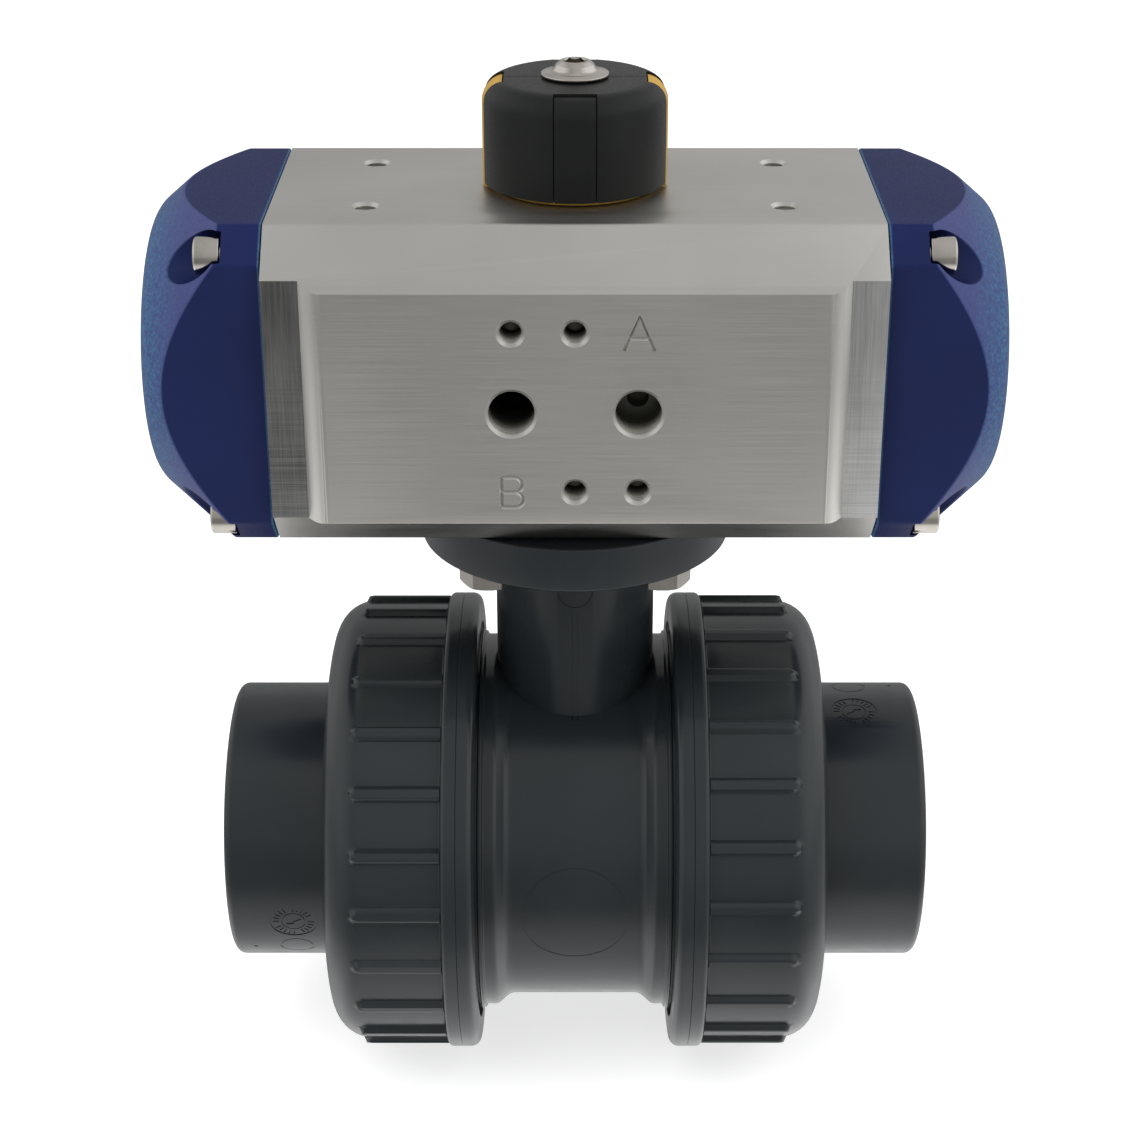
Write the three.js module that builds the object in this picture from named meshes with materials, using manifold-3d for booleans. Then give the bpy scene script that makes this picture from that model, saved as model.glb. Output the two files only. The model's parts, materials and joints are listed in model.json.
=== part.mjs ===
// Rotary pneumatic actuator: a double-acting rack-and-pinion drive bolted to a true-union ball valve.
// Millimetres, +Z up. The origin is the ball's centre, where the pipe axis meets the stem axis.
// +X runs along the pipe and the cylinder bore, and -Y faces the air ports.
import * as THREE from 'three';
import { mergeVertices } from 'three/addons/utils/BufferGeometryUtils.js';
import Module from 'manifold-3d';

const wasm = await Module();
wasm.setup();

// ---------------------------------------------------------------- driving dimensions

const GAP = 0.3;                    // between neighbouring pieces
const COARSE = 8;                   // segments round small holes
const MEDIUM = 16;                  // round shafts and seals
const FINE = 24;                    // round the large bodies

const BORE_Z = 112.2;               // cylinder bore axis above the pipe axis
const BORE_R = 25;
const BODY_HALF_LENGTH = 58.3;
const BODY_HALF_HEIGHT = 32.2;
const BODY_TOP = BORE_Z + BODY_HALF_HEIGHT;
const BODY_BOTTOM = BORE_Z - BODY_HALF_HEIGHT;
const FLAT_HALF_WIDTH = 26.6;       // top and bottom flats, up to the long chamfers
const BACK_Y = 36;
const PAD_Y = -37.5;                // proud pad that carries the air ports
const PAD_HALF_LENGTH = 47;
const PAD_ROUND_END = 51.3;         // where the pad's rounded ends meet the milled end zones
const END_ZONE_Y = -35.6;

const PORT_Z = 110.6;
const PORT_SPACING = 24;
const PORT_R = 4.4;
const PORT_A_DEPTH = 7.5;
const PAD_HOLE_RISE = 16;           // solenoid screw holes, above and below the ports
const M5_HOLE_R = 2.1;
const TOP_HOLES = { x: 40, y: 15 }; // half spacings
const CHANNEL = { y: -27, drop: 8.4, r: 1.3 };

const CAP_START = BODY_HALF_LENGTH + GAP;
const CAP_END = 83.2;
const CAP_HALF_WIDTH = 33;
const CAP_HALF_HEIGHT = 32.1;
const CAP_CHAMFER = { y: 26.6, z: 26.1 };
const CAP_CONE_SLOPE = 1.17;        // length lost for each unit of radius
const CAP_CONE_MEETS_END_R = 26.45;
const CAP_ROUND_R = 7.5;
const CAP_DOME_WIDEN = 1.09;        // the dome is wider along Y than along Z
const CAP_SCREW = { y: 28, z: 26.5, r: 2, headR: 3.6, seat: 65.9, headEnd: 71.1, depth: 12 };
const CAP_POCKET = { r: 4.6, mouthR: 6.3 };
const GASKET = { innerY: 30.2, outerY: 31.8, innerZ: 28.1, outerZ: 29.9, depth: 1.3 };

const TOOTH_MODULE = 1.5;
const TEETH = 16;
const PITCH_R = TOOTH_MODULE * TEETH / 2;
const TOOTH_PITCH = Math.PI * TOOTH_MODULE;
const ADDENDUM = 0.9 * TOOTH_MODULE;
const DEDENDUM = 1.25 * TOOTH_MODULE;
const PRESSURE_ANGLE = THREE.MathUtils.degToRad(20);
const TOOTH_THICKNESS = TOOTH_PITCH / 2 - 0.15;
const GEAR_HALF_HEIGHT = 9.5;

const PISTON = { inner: 43.9, outer: 57, r: 24.4, rackBackY: -22.3, rackHalfHeight: 9, rackTip: -4.7 };
const PISTON_BAND = { start: 45.5, end: 49.5, floorR: 23.2 };
const PISTON_SEAL = { start: 52.3, end: 55.3, floorR: 22 };
const RING_R = 24.7;                // outside of the piston seal and the guide band

const LOWER_JOURNAL_R = 14;
const LOWER_BORE_R = 15.9;
const UPPER_JOURNAL_R = 9.5;
const UPPER_BORE_R = 11.7;
const PINION = {
  bottom: BODY_BOTTOM + GAP, lowerSeal: [83.9, 86.7], shoulder: 91, socketTop: 96,
  upperSeal: [137.9, 140.5], clip: [145.85, 147.4], shaftTop: 150, top: 161,
  sealDepth: 1.4, clipDepth: 1.2, screwTap: { r: 3 + GAP, bottom: 151 },
};
const BUSH_HEIGHTS = { lower: [80.5, 83.4], upper: [141, 144.1] };
const DRIVE_SQUARE = 7;             // half width of the socket in the pinion's foot
const STUB_SQUARE = 5.5;            // half width of the squares on the pinion's head and on the stem

const KNOB_R = 18.6;
const KNOB_BOTTOM = 145.6;
const KNOB_TOP = 165.7;
const KNOB_ROUND = 4;
const KNOB_SLOT = { innerR: 13.8, halfWidth: 4.15 };
const KNOB_HOLLOW = { r: 12.9, top: 150.4 };
const INSERT_TOP = KNOB_TOP - 0.5;
const BASE_RING = { innerR: 13.4, outerR: 16, bottom: 144.7, top: 145.3 };
const INDICATOR_SCREW = {
  r: 3, bottom: 153, flangeR: 6.6, flange: 1, domeR: 4.8, crownR: 3, head: 2.85, hexR: 2.3,
};

const FLANGE_R = 31.8;
const FLANGE_BOTTOM = 70.6;
const FLANGE_TOP = BODY_BOTTOM - GAP;
const FLANGE_BOLT = { offset: 25 / Math.SQRT2, r: 3, acrossFlats: 10, head: 3.7, intoBody: 9.6 };
const NECK_R = 16.6;
const NECK_POCKET = { r: 13.3, floor: 56.6 };
const COUPLING = { r: 13, bottom: 57, shoulder: FLANGE_TOP - GAP, top: 94, socketTop: 67.5 };

const BALL_R = 28;
const FLOW_R = 19;
const CHAMBER_R = 28.6;
const CARRIER_BORE_R = 30.5;
const SEAT_OUTER = 24;              // seat's outer face from the stem axis
const STEM_R = 9;
const STEM = { footR: 12, bottom: 28.4, footTop: 31.3, top: 56, squareTop: 66.5 };
const BLADE = { halfX: 3.1, halfY: 8, bottom: 21.9 };
const STEM_BORE_R = 9.35;
const STEM_SEAL = { starts: [38, 46], width: 2.6, depth: 1.8 };

const BARREL_R = 38.3;              // middle of the valve body
const SPIGOT_R = 42.8;              // threaded ends of the valve body
const SPIGOT_END = 40.6;
const NUT = { start: 20.5, ringEnd: 27.4, ribEnd: 45.5, end: 52 };
const NUT_RING_R = 49.8;
const NUT_R = 48;
const NUT_BORE_R = SPIGOT_R + 0.7;
const NUT_SHOULDER_R = 8;
const RIBS = { count: 24, tipR: 49.2, halfWidth: 1.25 };
const COLLAR = { start: 41, end: 46, r: 42 };
const END_R = 29.8;
const END_FACE = 73.8;
const PIPE_R = 25;                  // socket for 50 mm pipe
const SOCKET_DEPTH = 31;
const END_SEAL = { innerR: 33.5, outerR: 37, depth: 2.5 };

// ---------------------------------------------------------------- solids

const basisAlongX = new THREE.Matrix4().makeBasis(
  new THREE.Vector3(0, 1, 0), new THREE.Vector3(0, 0, 1), new THREE.Vector3(1, 0, 0));

// A closed three.js geometry as a manifold solid. Flat triangles at a lathe's poles are dropped.
function solid(geometry) {
  const bare = new THREE.BufferGeometry();
  bare.setAttribute('position', geometry.getAttribute('position'));
  bare.setIndex(geometry.index);
  const merged = mergeVertices(bare, 1e-4);
  const corners = merged.index.array;
  const triangles = [];
  for (let i = 0; i < corners.length; i += 3) {
    const [a, b, c] = corners.slice(i, i + 3);
    if (a !== b && b !== c && c !== a) triangles.push(a, b, c);
  }
  return new wasm.Manifold(new wasm.Mesh({
    numProp: 3,
    vertProperties: merged.getAttribute('position').array,
    triVerts: Uint32Array.from(triangles),
  }));
}

const join = (first, ...others) => others.reduce((whole, part) => whole.add(part), first);
const cut = (base, ...tools) => tools.reduce((left, tool) => left.subtract(tool), base);

function block([x0, x1], [y0, y1], [z0, z1]) {
  const box = new THREE.BoxGeometry(x1 - x0, y1 - y0, z1 - z0);
  return solid(box.translate((x0 + x1) / 2, (y0 + y1) / 2, (z0 + z1) / 2));
}

// A cylinder or cone along one axis from start to end. at gives its other two coordinates, in X, Y, Z order.
function rod(axis, start, end, r, at = [0, 0], segments = MEDIUM, endR = r) {
  const shape = new THREE.CylinderGeometry(endR, r, end - start, segments);
  const middle = (start + end) / 2;
  if (axis === 'x') return solid(shape.rotateZ(-Math.PI / 2).translate(middle, at[0], at[1]));
  if (axis === 'y') return solid(shape.translate(at[0], middle, at[1]));
  return solid(shape.rotateX(Math.PI / 2).translate(at[0], at[1], middle));
}

// A solid of revolution. Its profile lists [radius, height] anticlockwise, and closes on the axis or itself.
function latheGeometry(profile, segments) {
  const points = profile.map(([r, h]) => new THREE.Vector2(r, h));
  if (profile[0][0] > 0) points.push(points[0].clone());
  return new THREE.LatheGeometry(points, segments);
}

function turnedX(profile, segments = FINE, height = 0) {
  return solid(latheGeometry(profile, segments).rotateZ(-Math.PI / 2).translate(0, 0, height));
}

function turnedZ(profile, segments = MEDIUM) {
  return solid(latheGeometry(profile, segments).rotateX(Math.PI / 2));
}

// Plain rings: seals, bushes and washers, with flat faces where they are pressed.
const ringX = (innerR, outerR, start, end, height = 0) =>
  turnedX(ringProfile(innerR, outerR, start, end), FINE, height);

const ringZ = (innerR, outerR, bottom, top) => turnedZ(ringProfile(innerR, outerR, bottom, top));

const ringProfile = (innerR, outerR, start, end) =>
  [[innerR, start], [outerR, start], [outerR, end], [innerR, end]];

function extrusion(points, depth) {
  const shape = new THREE.Shape(points.map(([u, v]) => new THREE.Vector2(u, v)));
  return new THREE.ExtrudeGeometry(shape, { depth, bevelEnabled: false });
}

// Points are [y, z] and the prism runs along X, or [x, y] and it runs along Z.
function prismX(points, start, end) {
  return solid(extrusion(points, end - start).applyMatrix4(basisAlongX).translate(start, 0, 0));
}

function prismZ(points, start, end) {
  return solid(extrusion(points, end - start).translate(0, 0, start));
}

// An oval prism on the bore axis.
function ovalX(start, end, halfY, halfZ) {
  const shape = new THREE.CylinderGeometry(1, 1, end - start, FINE).rotateZ(-Math.PI / 2);
  return solid(shape.scale(1, halfY, halfZ).translate((start + end) / 2, 0, BORE_Z));
}

// An arc's points, from one angle to another.
function arc(centreU, centreV, r, from, to, steps) {
  return Array.from({ length: steps + 1 }, (_, i) => {
    const angle = from + (to - from) * i / steps;
    return [centreU + r * Math.cos(angle), centreV + r * Math.sin(angle)];
  });
}

const signs = [-1, 1];
const corners = signs.flatMap(a => signs.map(b => [a, b]));

// ---------------------------------------------------------------- actuator housing

const raised = points => points.map(([y, z]) => [y, z + BORE_Z]);

function extrudedBody() {
  const outline = raised([
    [FLAT_HALF_WIDTH, BODY_HALF_HEIGHT], [-FLAT_HALF_WIDTH, BODY_HALF_HEIGHT],
    [PAD_Y + 1.1, 23.3], [PAD_Y, 22], [PAD_Y, -24.4], [PAD_Y + 2.5, -23.5],
    [-FLAT_HALF_WIDTH, -BODY_HALF_HEIGHT], [FLAT_HALF_WIDTH, -BODY_HALF_HEIGHT],
    [BACK_Y, -24], [BACK_Y, 24],
  ]);
  return prismX(outline, -BODY_HALF_LENGTH, BODY_HALF_LENGTH);
}

// What the mill takes off one end of the pad: a rounded step down to the end zone.
function endZoneCut(side) {
  const step = END_ZONE_Y - PAD_Y;
  const run = PAD_ROUND_END - PAD_HALF_LENGTH;
  const r = (run * run + step * step) / (2 * step);
  const turn = Math.asin(run / r);
  const clear = BODY_HALF_LENGTH + 1;
  const outline = [
    ...arc(PAD_HALF_LENGTH, PAD_Y + r, r, -Math.PI / 2, -Math.PI / 2 + turn, 4),
    [clear, END_ZONE_Y], [clear, PAD_Y - 2], [PAD_HALF_LENGTH, PAD_Y - 2],
  ];
  return prismZ(outline.map(([x, y]) => [side * x, y]), BODY_BOTTOM, BODY_TOP);
}

// A screw hole with a countersunk mouth in the front pad.
function padHole(x, z, r, depth, segments) {
  const sink = 0.6;
  return join(
    rod('y', PAD_Y - 1, PAD_Y + depth, r, [x, z], segments),
    rod('y', PAD_Y - 1, PAD_Y + sink, r + sink + 1, [x, z], segments, r));
}

// Port B opens between the pistons. Port A feeds a long channel that reaches both end chambers.
function airways() {
  const half = PORT_SPACING / 2;
  const channelZ = BORE_Z - CHANNEL.drop;
  return join(
    padHole(-half, PORT_Z, PORT_R, BORE_R / 2, MEDIUM),
    padHole(half, PORT_Z, PORT_R, PORT_A_DEPTH, MEDIUM),
    rod('y', PAD_Y + PORT_A_DEPTH - 1, CHANNEL.y + 0.6, CHANNEL.r, [half, PORT_Z], COARSE),
    rod('z', channelZ, PORT_Z, CHANNEL.r, [half, CHANNEL.y], COARSE),
    rod('x', -BODY_HALF_LENGTH - 1, BODY_HALF_LENGTH + 1, CHANNEL.r, [CHANNEL.y, channelZ], COARSE));
}

function screwHoles() {
  const pad = [[-12, 1], [0, 1], [0, -1], [12, -1]].map(
    ([x, side]) => padHole(x, PORT_Z + side * PAD_HOLE_RISE, M5_HOLE_R, 8, COARSE));
  const top = corners.map(
    ([a, b]) => rod('z', BODY_TOP - 7, BODY_TOP + 1, M5_HOLE_R, [a * TOP_HOLES.x, b * TOP_HOLES.y], COARSE));
  const bottom = corners.map(([a, b]) => rod('z', BODY_BOTTOM - 1, BODY_BOTTOM + FLANGE_BOLT.intoBody + 1.4,
    FLANGE_BOLT.r + GAP, [a * FLANGE_BOLT.offset, b * FLANGE_BOLT.offset], COARSE));
  const ends = signs.flatMap(side => corners.map(([a, b]) => {
    const span = [side * (BODY_HALF_LENGTH + 1), side * (BODY_HALF_LENGTH - CAP_SCREW.depth - 2)];
    return rod('x', Math.min(...span), Math.max(...span), CAP_SCREW.r + GAP,
      [a * CAP_SCREW.y, BORE_Z + b * CAP_SCREW.z], COARSE);
  }));
  return [...pad, ...top, ...bottom, ...ends];
}

function actuatorBody() {
  return cut(extrudedBody(),
    endZoneCut(-1), endZoneCut(1),
    rod('x', -BODY_HALF_LENGTH - 1, BODY_HALF_LENGTH + 1, BORE_R, [0, BORE_Z], FINE),
    rod('z', BORE_Z, BODY_TOP + 1, UPPER_BORE_R),
    rod('z', BODY_BOTTOM - 1, BORE_Z, LOWER_BORE_R),
    airways(), ...screwHoles());
}

// The dome's profile: a flat end, a round and a cone, before the octagonal outline trims it.
function domeProfile() {
  const tilt = Math.atan(CAP_CONE_SLOPE);
  const roundR = CAP_CONE_MEETS_END_R - CAP_ROUND_R * Math.tan(tilt / 2);
  const round = arc(roundR, CAP_END - CAP_ROUND_R, CAP_ROUND_R, Math.PI / 2 - tilt, Math.PI / 2, 4);
  const coneFootR = CAP_CONE_MEETS_END_R + (CAP_END - CAP_START) / CAP_CONE_SLOPE;
  return [[0, CAP_START], [coneFootR, CAP_START], ...round, [0, CAP_END]];
}

function endCap() {
  const { y, z } = CAP_CHAMFER;
  const outline = raised([
    [y, CAP_HALF_HEIGHT], [-y, CAP_HALF_HEIGHT], [-CAP_HALF_WIDTH, z], [-CAP_HALF_WIDTH, -z],
    [-y, -CAP_HALF_HEIGHT], [y, -CAP_HALF_HEIGHT], [CAP_HALF_WIDTH, -z], [CAP_HALF_WIDTH, z],
  ]);
  const dome = latheGeometry(domeProfile(), FINE).rotateZ(-Math.PI / 2);
  const shell = prismX(outline, CAP_START, CAP_END + 1)
    .intersect(solid(dome.scale(1, CAP_DOME_WIDEN, 1).translate(0, 0, BORE_Z)));
  const grooveEnd = CAP_START + GASKET.depth + GAP;
  const groove = cut(
    ovalX(CAP_START - 1, grooveEnd, GASKET.outerY + GAP, GASKET.outerZ + GAP),
    ovalX(CAP_START - 2, grooveEnd + 1, GASKET.innerY - GAP, GASKET.innerZ - GAP));
  const chamber = turnedX([[0, CAP_START - 1], [25.5, CAP_START - 1], [25.5, 73], [20, 79.5], [0, 79.5]],
    FINE, BORE_Z);
  const mouth = ovalX(CAP_START - 1, CAP_START + 3, GASKET.innerY - 1.2, GASKET.innerZ - 1.2);
  const screws = corners.flatMap(([a, b]) => {
    const at = [a * CAP_SCREW.y, BORE_Z + b * CAP_SCREW.z];
    return [
      rod('x', CAP_START - 1, CAP_SCREW.seat + 1, CAP_SCREW.r + 0.4, at, COARSE),
      rod('x', CAP_SCREW.seat, CAP_END, CAP_POCKET.r, at, MEDIUM, CAP_POCKET.mouthR),
    ];
  });
  return cut(shell, groove, chamber, mouth, ...screws);
}

function capGasket() {
  const end = CAP_START + GASKET.depth;
  return cut(
    ovalX(CAP_START, end, GASKET.outerY, GASKET.outerZ),
    ovalX(CAP_START - 1, end + 1, GASKET.innerY, GASKET.innerZ));
}

function capScrew([a, b]) {
  const at = [a * CAP_SCREW.y, BORE_Z + b * CAP_SCREW.z];
  const hexR = 1.7;
  return cut(
    join(
      rod('x', BODY_HALF_LENGTH - CAP_SCREW.depth, CAP_SCREW.seat + 1, CAP_SCREW.r, at, COARSE),
      rod('x', CAP_SCREW.seat + GAP, CAP_SCREW.headEnd, CAP_SCREW.headR, at, MEDIUM)),
    rod('x', CAP_SCREW.headEnd - 2.2, CAP_SCREW.headEnd + 1, hexR, at, 6));
}

// ---------------------------------------------------------------- pistons and pinion

// Rack teeth face +Y, with a tooth space on the stem axis.
function rackOutline() {
  const half = height => TOOTH_THICKNESS / 2 - height * Math.tan(PRESSURE_ANGLE);
  const rootY = -PITCH_R - DEDENDUM;
  const tipY = -PITCH_R + ADDENDUM;
  const inHead = PISTON.inner + 1;
  const outline = [[PISTON.rackTip, PISTON.rackBackY], [inHead, PISTON.rackBackY], [inHead, rootY]];
  for (let tooth = 5; tooth >= -1; tooth--) {
    const x = (tooth + 0.5) * TOOTH_PITCH;
    outline.push([x + half(-DEDENDUM), rootY], [x + half(ADDENDUM), tipY]);
    outline.push([x - half(ADDENDUM), tipY], [x - half(-DEDENDUM), rootY]);
  }
  outline.push([PISTON.rackTip, rootY]);
  return outline;
}

function piston() {
  const { r, inner, outer } = PISTON;
  const groove = ({ start, end, floorR }) => [[r, start], [floorR, start], [floorR, end], [r, end]];
  const head = turnedX([
    [0, inner], [r, inner], ...groove(PISTON_BAND), ...groove(PISTON_SEAL),
    [r, outer], [16, outer], [14, outer - 4], [0, outer - 4],
  ], MEDIUM, BORE_Z);
  const rack = prismZ(rackOutline(), BORE_Z - PISTON.rackHalfHeight, BORE_Z + PISTON.rackHalfHeight);
  return join(head, rack);
}

function pistonSeal() {
  const { start, end, floorR } = PISTON_SEAL;
  return ringX(floorR + GAP, RING_R, start + GAP, end - GAP, BORE_Z);
}

// The guide band is a strip, so it has an open joint at the top.
function pistonBand() {
  const { start, end, floorR } = PISTON_BAND;
  const band = ringX(floorR + GAP, RING_R, start + GAP, end - GAP, BORE_Z);
  return cut(band, block([start, end], [-1, 1], [BORE_Z, BODY_TOP]));
}

// Sixteen involute teeth, one of them on the +X axis.
function gearOutline() {
  const baseR = PITCH_R * Math.cos(PRESSURE_ANGLE);
  const involute = angle => Math.tan(angle) - angle;
  const halfAngle = r => TOOTH_THICKNESS / (2 * PITCH_R) + involute(PRESSURE_ANGLE)
    - involute(Math.acos(Math.min(1, baseR / r)));
  const flank = [PITCH_R - DEDENDUM, baseR, PITCH_R + 0.3, PITCH_R + ADDENDUM];
  const outline = [];
  for (let tooth = 0; tooth < TEETH; tooth++) {
    const centre = tooth * 2 * Math.PI / TEETH;
    const point = (r, side) => {
      const angle = centre + side * halfAngle(r);
      return [r * Math.cos(angle), r * Math.sin(angle)];
    };
    outline.push(...flank.map(r => point(r, -1)), ...flank.toReversed().map(r => point(r, 1)));
  }
  return outline;
}

function pinionShaft() {
  const { bottom, shoulder, shaftTop, sealDepth, clipDepth, screwTap } = PINION;
  const groove = (r, [start, end], depth) => [[r, start], [r - depth, start], [r - depth, end], [r, end]];
  const shaft = turnedZ([
    [0, bottom], [LOWER_JOURNAL_R, bottom], ...groove(LOWER_JOURNAL_R, PINION.lowerSeal, sealDepth),
    [LOWER_JOURNAL_R, shoulder], [UPPER_JOURNAL_R, shoulder],
    ...groove(UPPER_JOURNAL_R, PINION.upperSeal, sealDepth),
    ...groove(UPPER_JOURNAL_R, PINION.clip, clipDepth), [UPPER_JOURNAL_R, shaftTop], [0, shaftTop],
  ]);
  const gear = prismZ(gearOutline(), BORE_Z - GEAR_HALF_HEIGHT, BORE_Z + GEAR_HALF_HEIGHT);
  const stub = [-STUB_SQUARE, STUB_SQUARE];
  const socket = [-DRIVE_SQUARE, DRIVE_SQUARE];
  return cut(
    join(shaft, gear, block(stub, stub, [shaftTop - 1, PINION.top])),
    block(socket, socket, [BODY_BOTTOM, PINION.socketTop]),
    rod('z', screwTap.bottom, PINION.top + 1, screwTap.r, [0, 0], COARSE));
}

// A ring in one of the pinion's grooves, clear of the groove's floor and sides.
function grooveRing(journalR, outerR, [start, end], depth) {
  return ringZ(journalR - depth + GAP, outerR, start + GAP, end - GAP);
}

// An open spring ring in the pinion's top groove.
function retainingRing() {
  const ring = grooveRing(UPPER_JOURNAL_R, UPPER_BORE_R + 0.5, PINION.clip, PINION.clipDepth);
  return cut(ring, block([-3, 3], [0, UPPER_BORE_R + 1], PINION.clip));
}

// ---------------------------------------------------------------- position indicator

function knobBlank(top) {
  return turnedZ([
    [0, KNOB_BOTTOM], [KNOB_R, KNOB_BOTTOM],
    ...arc(KNOB_R - KNOB_ROUND, top - KNOB_ROUND, KNOB_ROUND, 0, Math.PI / 2, 3), [0, top],
  ], FINE);
}

function indicatorKnob() {
  const square = [-STUB_SQUARE - GAP, STUB_SQUARE + GAP];
  const width = [-KNOB_SLOT.halfWidth, KNOB_SLOT.halfWidth];
  const slots = signs.flatMap(side => {
    const reach = [side * KNOB_SLOT.innerR, side * (KNOB_R + 1)].sort((a, b) => a - b);
    const height = [KNOB_BOTTOM - 1, KNOB_TOP + 1];
    return [block(reach, width, height), block(width, reach, height)];
  });
  return cut(knobBlank(KNOB_TOP),
    rod('z', KNOB_BOTTOM - 1, KNOB_HOLLOW.top, KNOB_HOLLOW.r),
    block(square, square, [KNOB_HOLLOW.top - 1, PINION.top + 0.6]),
    rod('z', PINION.top, KNOB_TOP + 1, INDICATOR_SCREW.r + GAP, [0, 0], COARSE),
    ...slots);
}

// A strip that fills one of the knob's slots.
function indicatorInsert() {
  const width = KNOB_SLOT.halfWidth - GAP;
  return knobBlank(INSERT_TOP).intersect(
    block([KNOB_SLOT.innerR + GAP, KNOB_R + 1], [-width, width], [KNOB_BOTTOM - 1, KNOB_TOP]));
}

// The yellow ring under the knob, with a strip standing up through the slot at each pipe end.
function indicatorBase() {
  const { innerR, outerR, bottom, top } = BASE_RING;
  const width = KNOB_SLOT.halfWidth - GAP;
  const foot = block([KNOB_SLOT.innerR + GAP, outerR - 0.5], [-width, width], [bottom, KNOB_BOTTOM + 1]);
  const strip = join(indicatorInsert(), foot);
  return join(ringZ(innerR, outerR, bottom, top), strip, strip.rotate(0, 0, 180));
}

function indicatorScrew() {
  const { r, bottom, flangeR, flange, domeR, crownR, head, hexR } = INDICATOR_SCREW;
  const seat = KNOB_TOP + GAP;
  const dome = arc(domeR - head + flange, seat + flange, head - flange, 0, Math.PI / 2, 3);
  const body = turnedZ([
    [0, bottom], [r, bottom], [r, seat], [flangeR, seat], [flangeR, seat + flange],
    ...dome.filter(([x]) => x > crownR), [crownR, seat + head], [0, seat + head],
  ]);
  return cut(body, rod('z', seat + flange, seat + head + 1, hexR, [0, 0], 6));
}

// ---------------------------------------------------------------- valve top

function flangeBolt([a, b]) {
  const at = [a * FLANGE_BOLT.offset, b * FLANGE_BOLT.offset];
  const headTop = FLANGE_BOTTOM - GAP;
  return join(
    rod('z', headTop - 1, BODY_BOTTOM + FLANGE_BOLT.intoBody, FLANGE_BOLT.r, at, COARSE),
    rod('z', headTop - FLANGE_BOLT.head, headTop, FLANGE_BOLT.acrossFlats / Math.sqrt(3), at, 6));
}

function stemCoupling() {
  const { r, bottom, shoulder, top, socketTop } = COUPLING;
  const male = [-DRIVE_SQUARE + GAP, DRIVE_SQUARE - GAP];
  const female = [-STUB_SQUARE - GAP, STUB_SQUARE + GAP];
  return cut(
    join(rod('z', bottom, shoulder, r), block(male, male, [shoulder - 1, top])),
    block(female, female, [bottom - 1, socketTop]));
}

function valveStem() {
  const { footR, bottom, footTop, top, squareTop } = STEM;
  const floor = STEM_R - STEM_SEAL.depth;
  const groove = z => [[STEM_R, z], [floor, z], [floor, z + STEM_SEAL.width], [STEM_R, z + STEM_SEAL.width]];
  const shaft = turnedZ([
    [0, bottom], [footR, bottom], [footR, footTop], [STEM_R, footTop],
    ...STEM_SEAL.starts.flatMap(groove), [STEM_R, top], [0, top],
  ]);
  const square = [-STUB_SQUARE, STUB_SQUARE];
  const blade = block([-BLADE.halfX, BLADE.halfX], [-BLADE.halfY, BLADE.halfY], [BLADE.bottom, bottom + 1]);
  return join(shaft, block(square, square, [top - 1, squareTop]), blade);
}

function stemSeal(start) {
  return ringZ(STEM_R - STEM_SEAL.depth + GAP, STEM_R, start + GAP, start + STEM_SEAL.width - GAP);
}

// ---------------------------------------------------------------- valve body and ball

function valveBody() {
  const half = [
    [BARREL_R, 16], [40.5, 18.2], [SPIGOT_R, 19.5], [SPIGOT_R, SPIGOT_END],
    [END_SEAL.outerR, SPIGOT_END], [END_SEAL.outerR, SPIGOT_END - END_SEAL.depth],
    [END_SEAL.innerR, SPIGOT_END - END_SEAL.depth], [END_SEAL.innerR, SPIGOT_END],
  ];
  const mirrored = half.toReversed().map(([r, x]) => [r, -x]);
  const barrel = turnedX([[0, -SPIGOT_END], ...mirrored, ...half, [0, SPIGOT_END]]);
  const neck = turnedZ([
    [0, 31], [NECK_R, 31], [NECK_R, FLANGE_BOTTOM], [FLANGE_R, FLANGE_BOTTOM], [FLANGE_R, FLANGE_TOP],
    [0, FLANGE_TOP],
  ], FINE);
  const footWayR = STEM.footR + 0.4;
  const footWayTop = STEM.footTop + GAP;
  const stemWay = turnedZ([
    [0, FLOW_R + 1], [footWayR, FLOW_R + 1], [footWayR, footWayTop], [STEM_BORE_R, footWayTop],
    [STEM_BORE_R, NECK_POCKET.floor], [NECK_POCKET.r, NECK_POCKET.floor],
    [NECK_POCKET.r, BODY_BOTTOM], [0, BODY_BOTTOM],
  ]);
  const boltHoles = corners.map(([a, b]) => rod('z', FLANGE_BOTTOM - 1, BODY_BOTTOM, FLANGE_BOLT.r + GAP,
    [a * FLANGE_BOLT.offset, b * FLANGE_BOLT.offset], COARSE));
  const chamberEnd = SEAT_OUTER + GAP;
  return cut(join(barrel, neck),
    rod('x', -chamberEnd, chamberEnd + 1, CHAMBER_R, [0, 0], FINE),
    rod('x', chamberEnd, SPIGOT_END + 1, CARRIER_BORE_R, [0, 0], FINE),
    rod('x', -SPIGOT_END - 1, 0, FLOW_R, [0, 0], FINE),
    stemWay, ...boltHoles);
}

// The drilled ball, with the stem's slot square to the bore.
function ball() {
  const sphere = solid(new THREE.SphereGeometry(BALL_R, 24, 12));
  return cut(sphere,
    rod('x', -BALL_R - 1, BALL_R + 1, FLOW_R, [0, 0], FINE),
    block([-BLADE.halfX - GAP, BLADE.halfX + GAP], [-13, 13], [BLADE.bottom - GAP, BALL_R + 1]));
}

function ballSeat() {
  const clearance = 0.5;
  const touch = r => Math.sqrt((BALL_R + clearance) ** 2 - r * r);
  const innerR = FLOW_R + 0.8;
  const lipR = 24;
  const outerR = CHAMBER_R - 0.4;
  return turnedX([
    [innerR, touch(innerR)], [lipR, touch(lipR)], [outerR, touch(lipR)],
    [outerR, SEAT_OUTER], [innerR, SEAT_OUTER],
  ]);
}

// The threaded ring that presses the seats onto the ball, with two slots for its key.
function seatCarrier() {
  const start = SEAT_OUTER + 2 * GAP;
  const end = 38.5;
  const ring = ringX(FLOW_R, CARRIER_BORE_R - GAP, start, end);
  const keySlot = y => block([end - 3, end + 1], [y - 2.5, y + 2.5], [-3, 3]);
  return cut(ring, keySlot(-24.5), keySlot(24.5));
}

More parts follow.
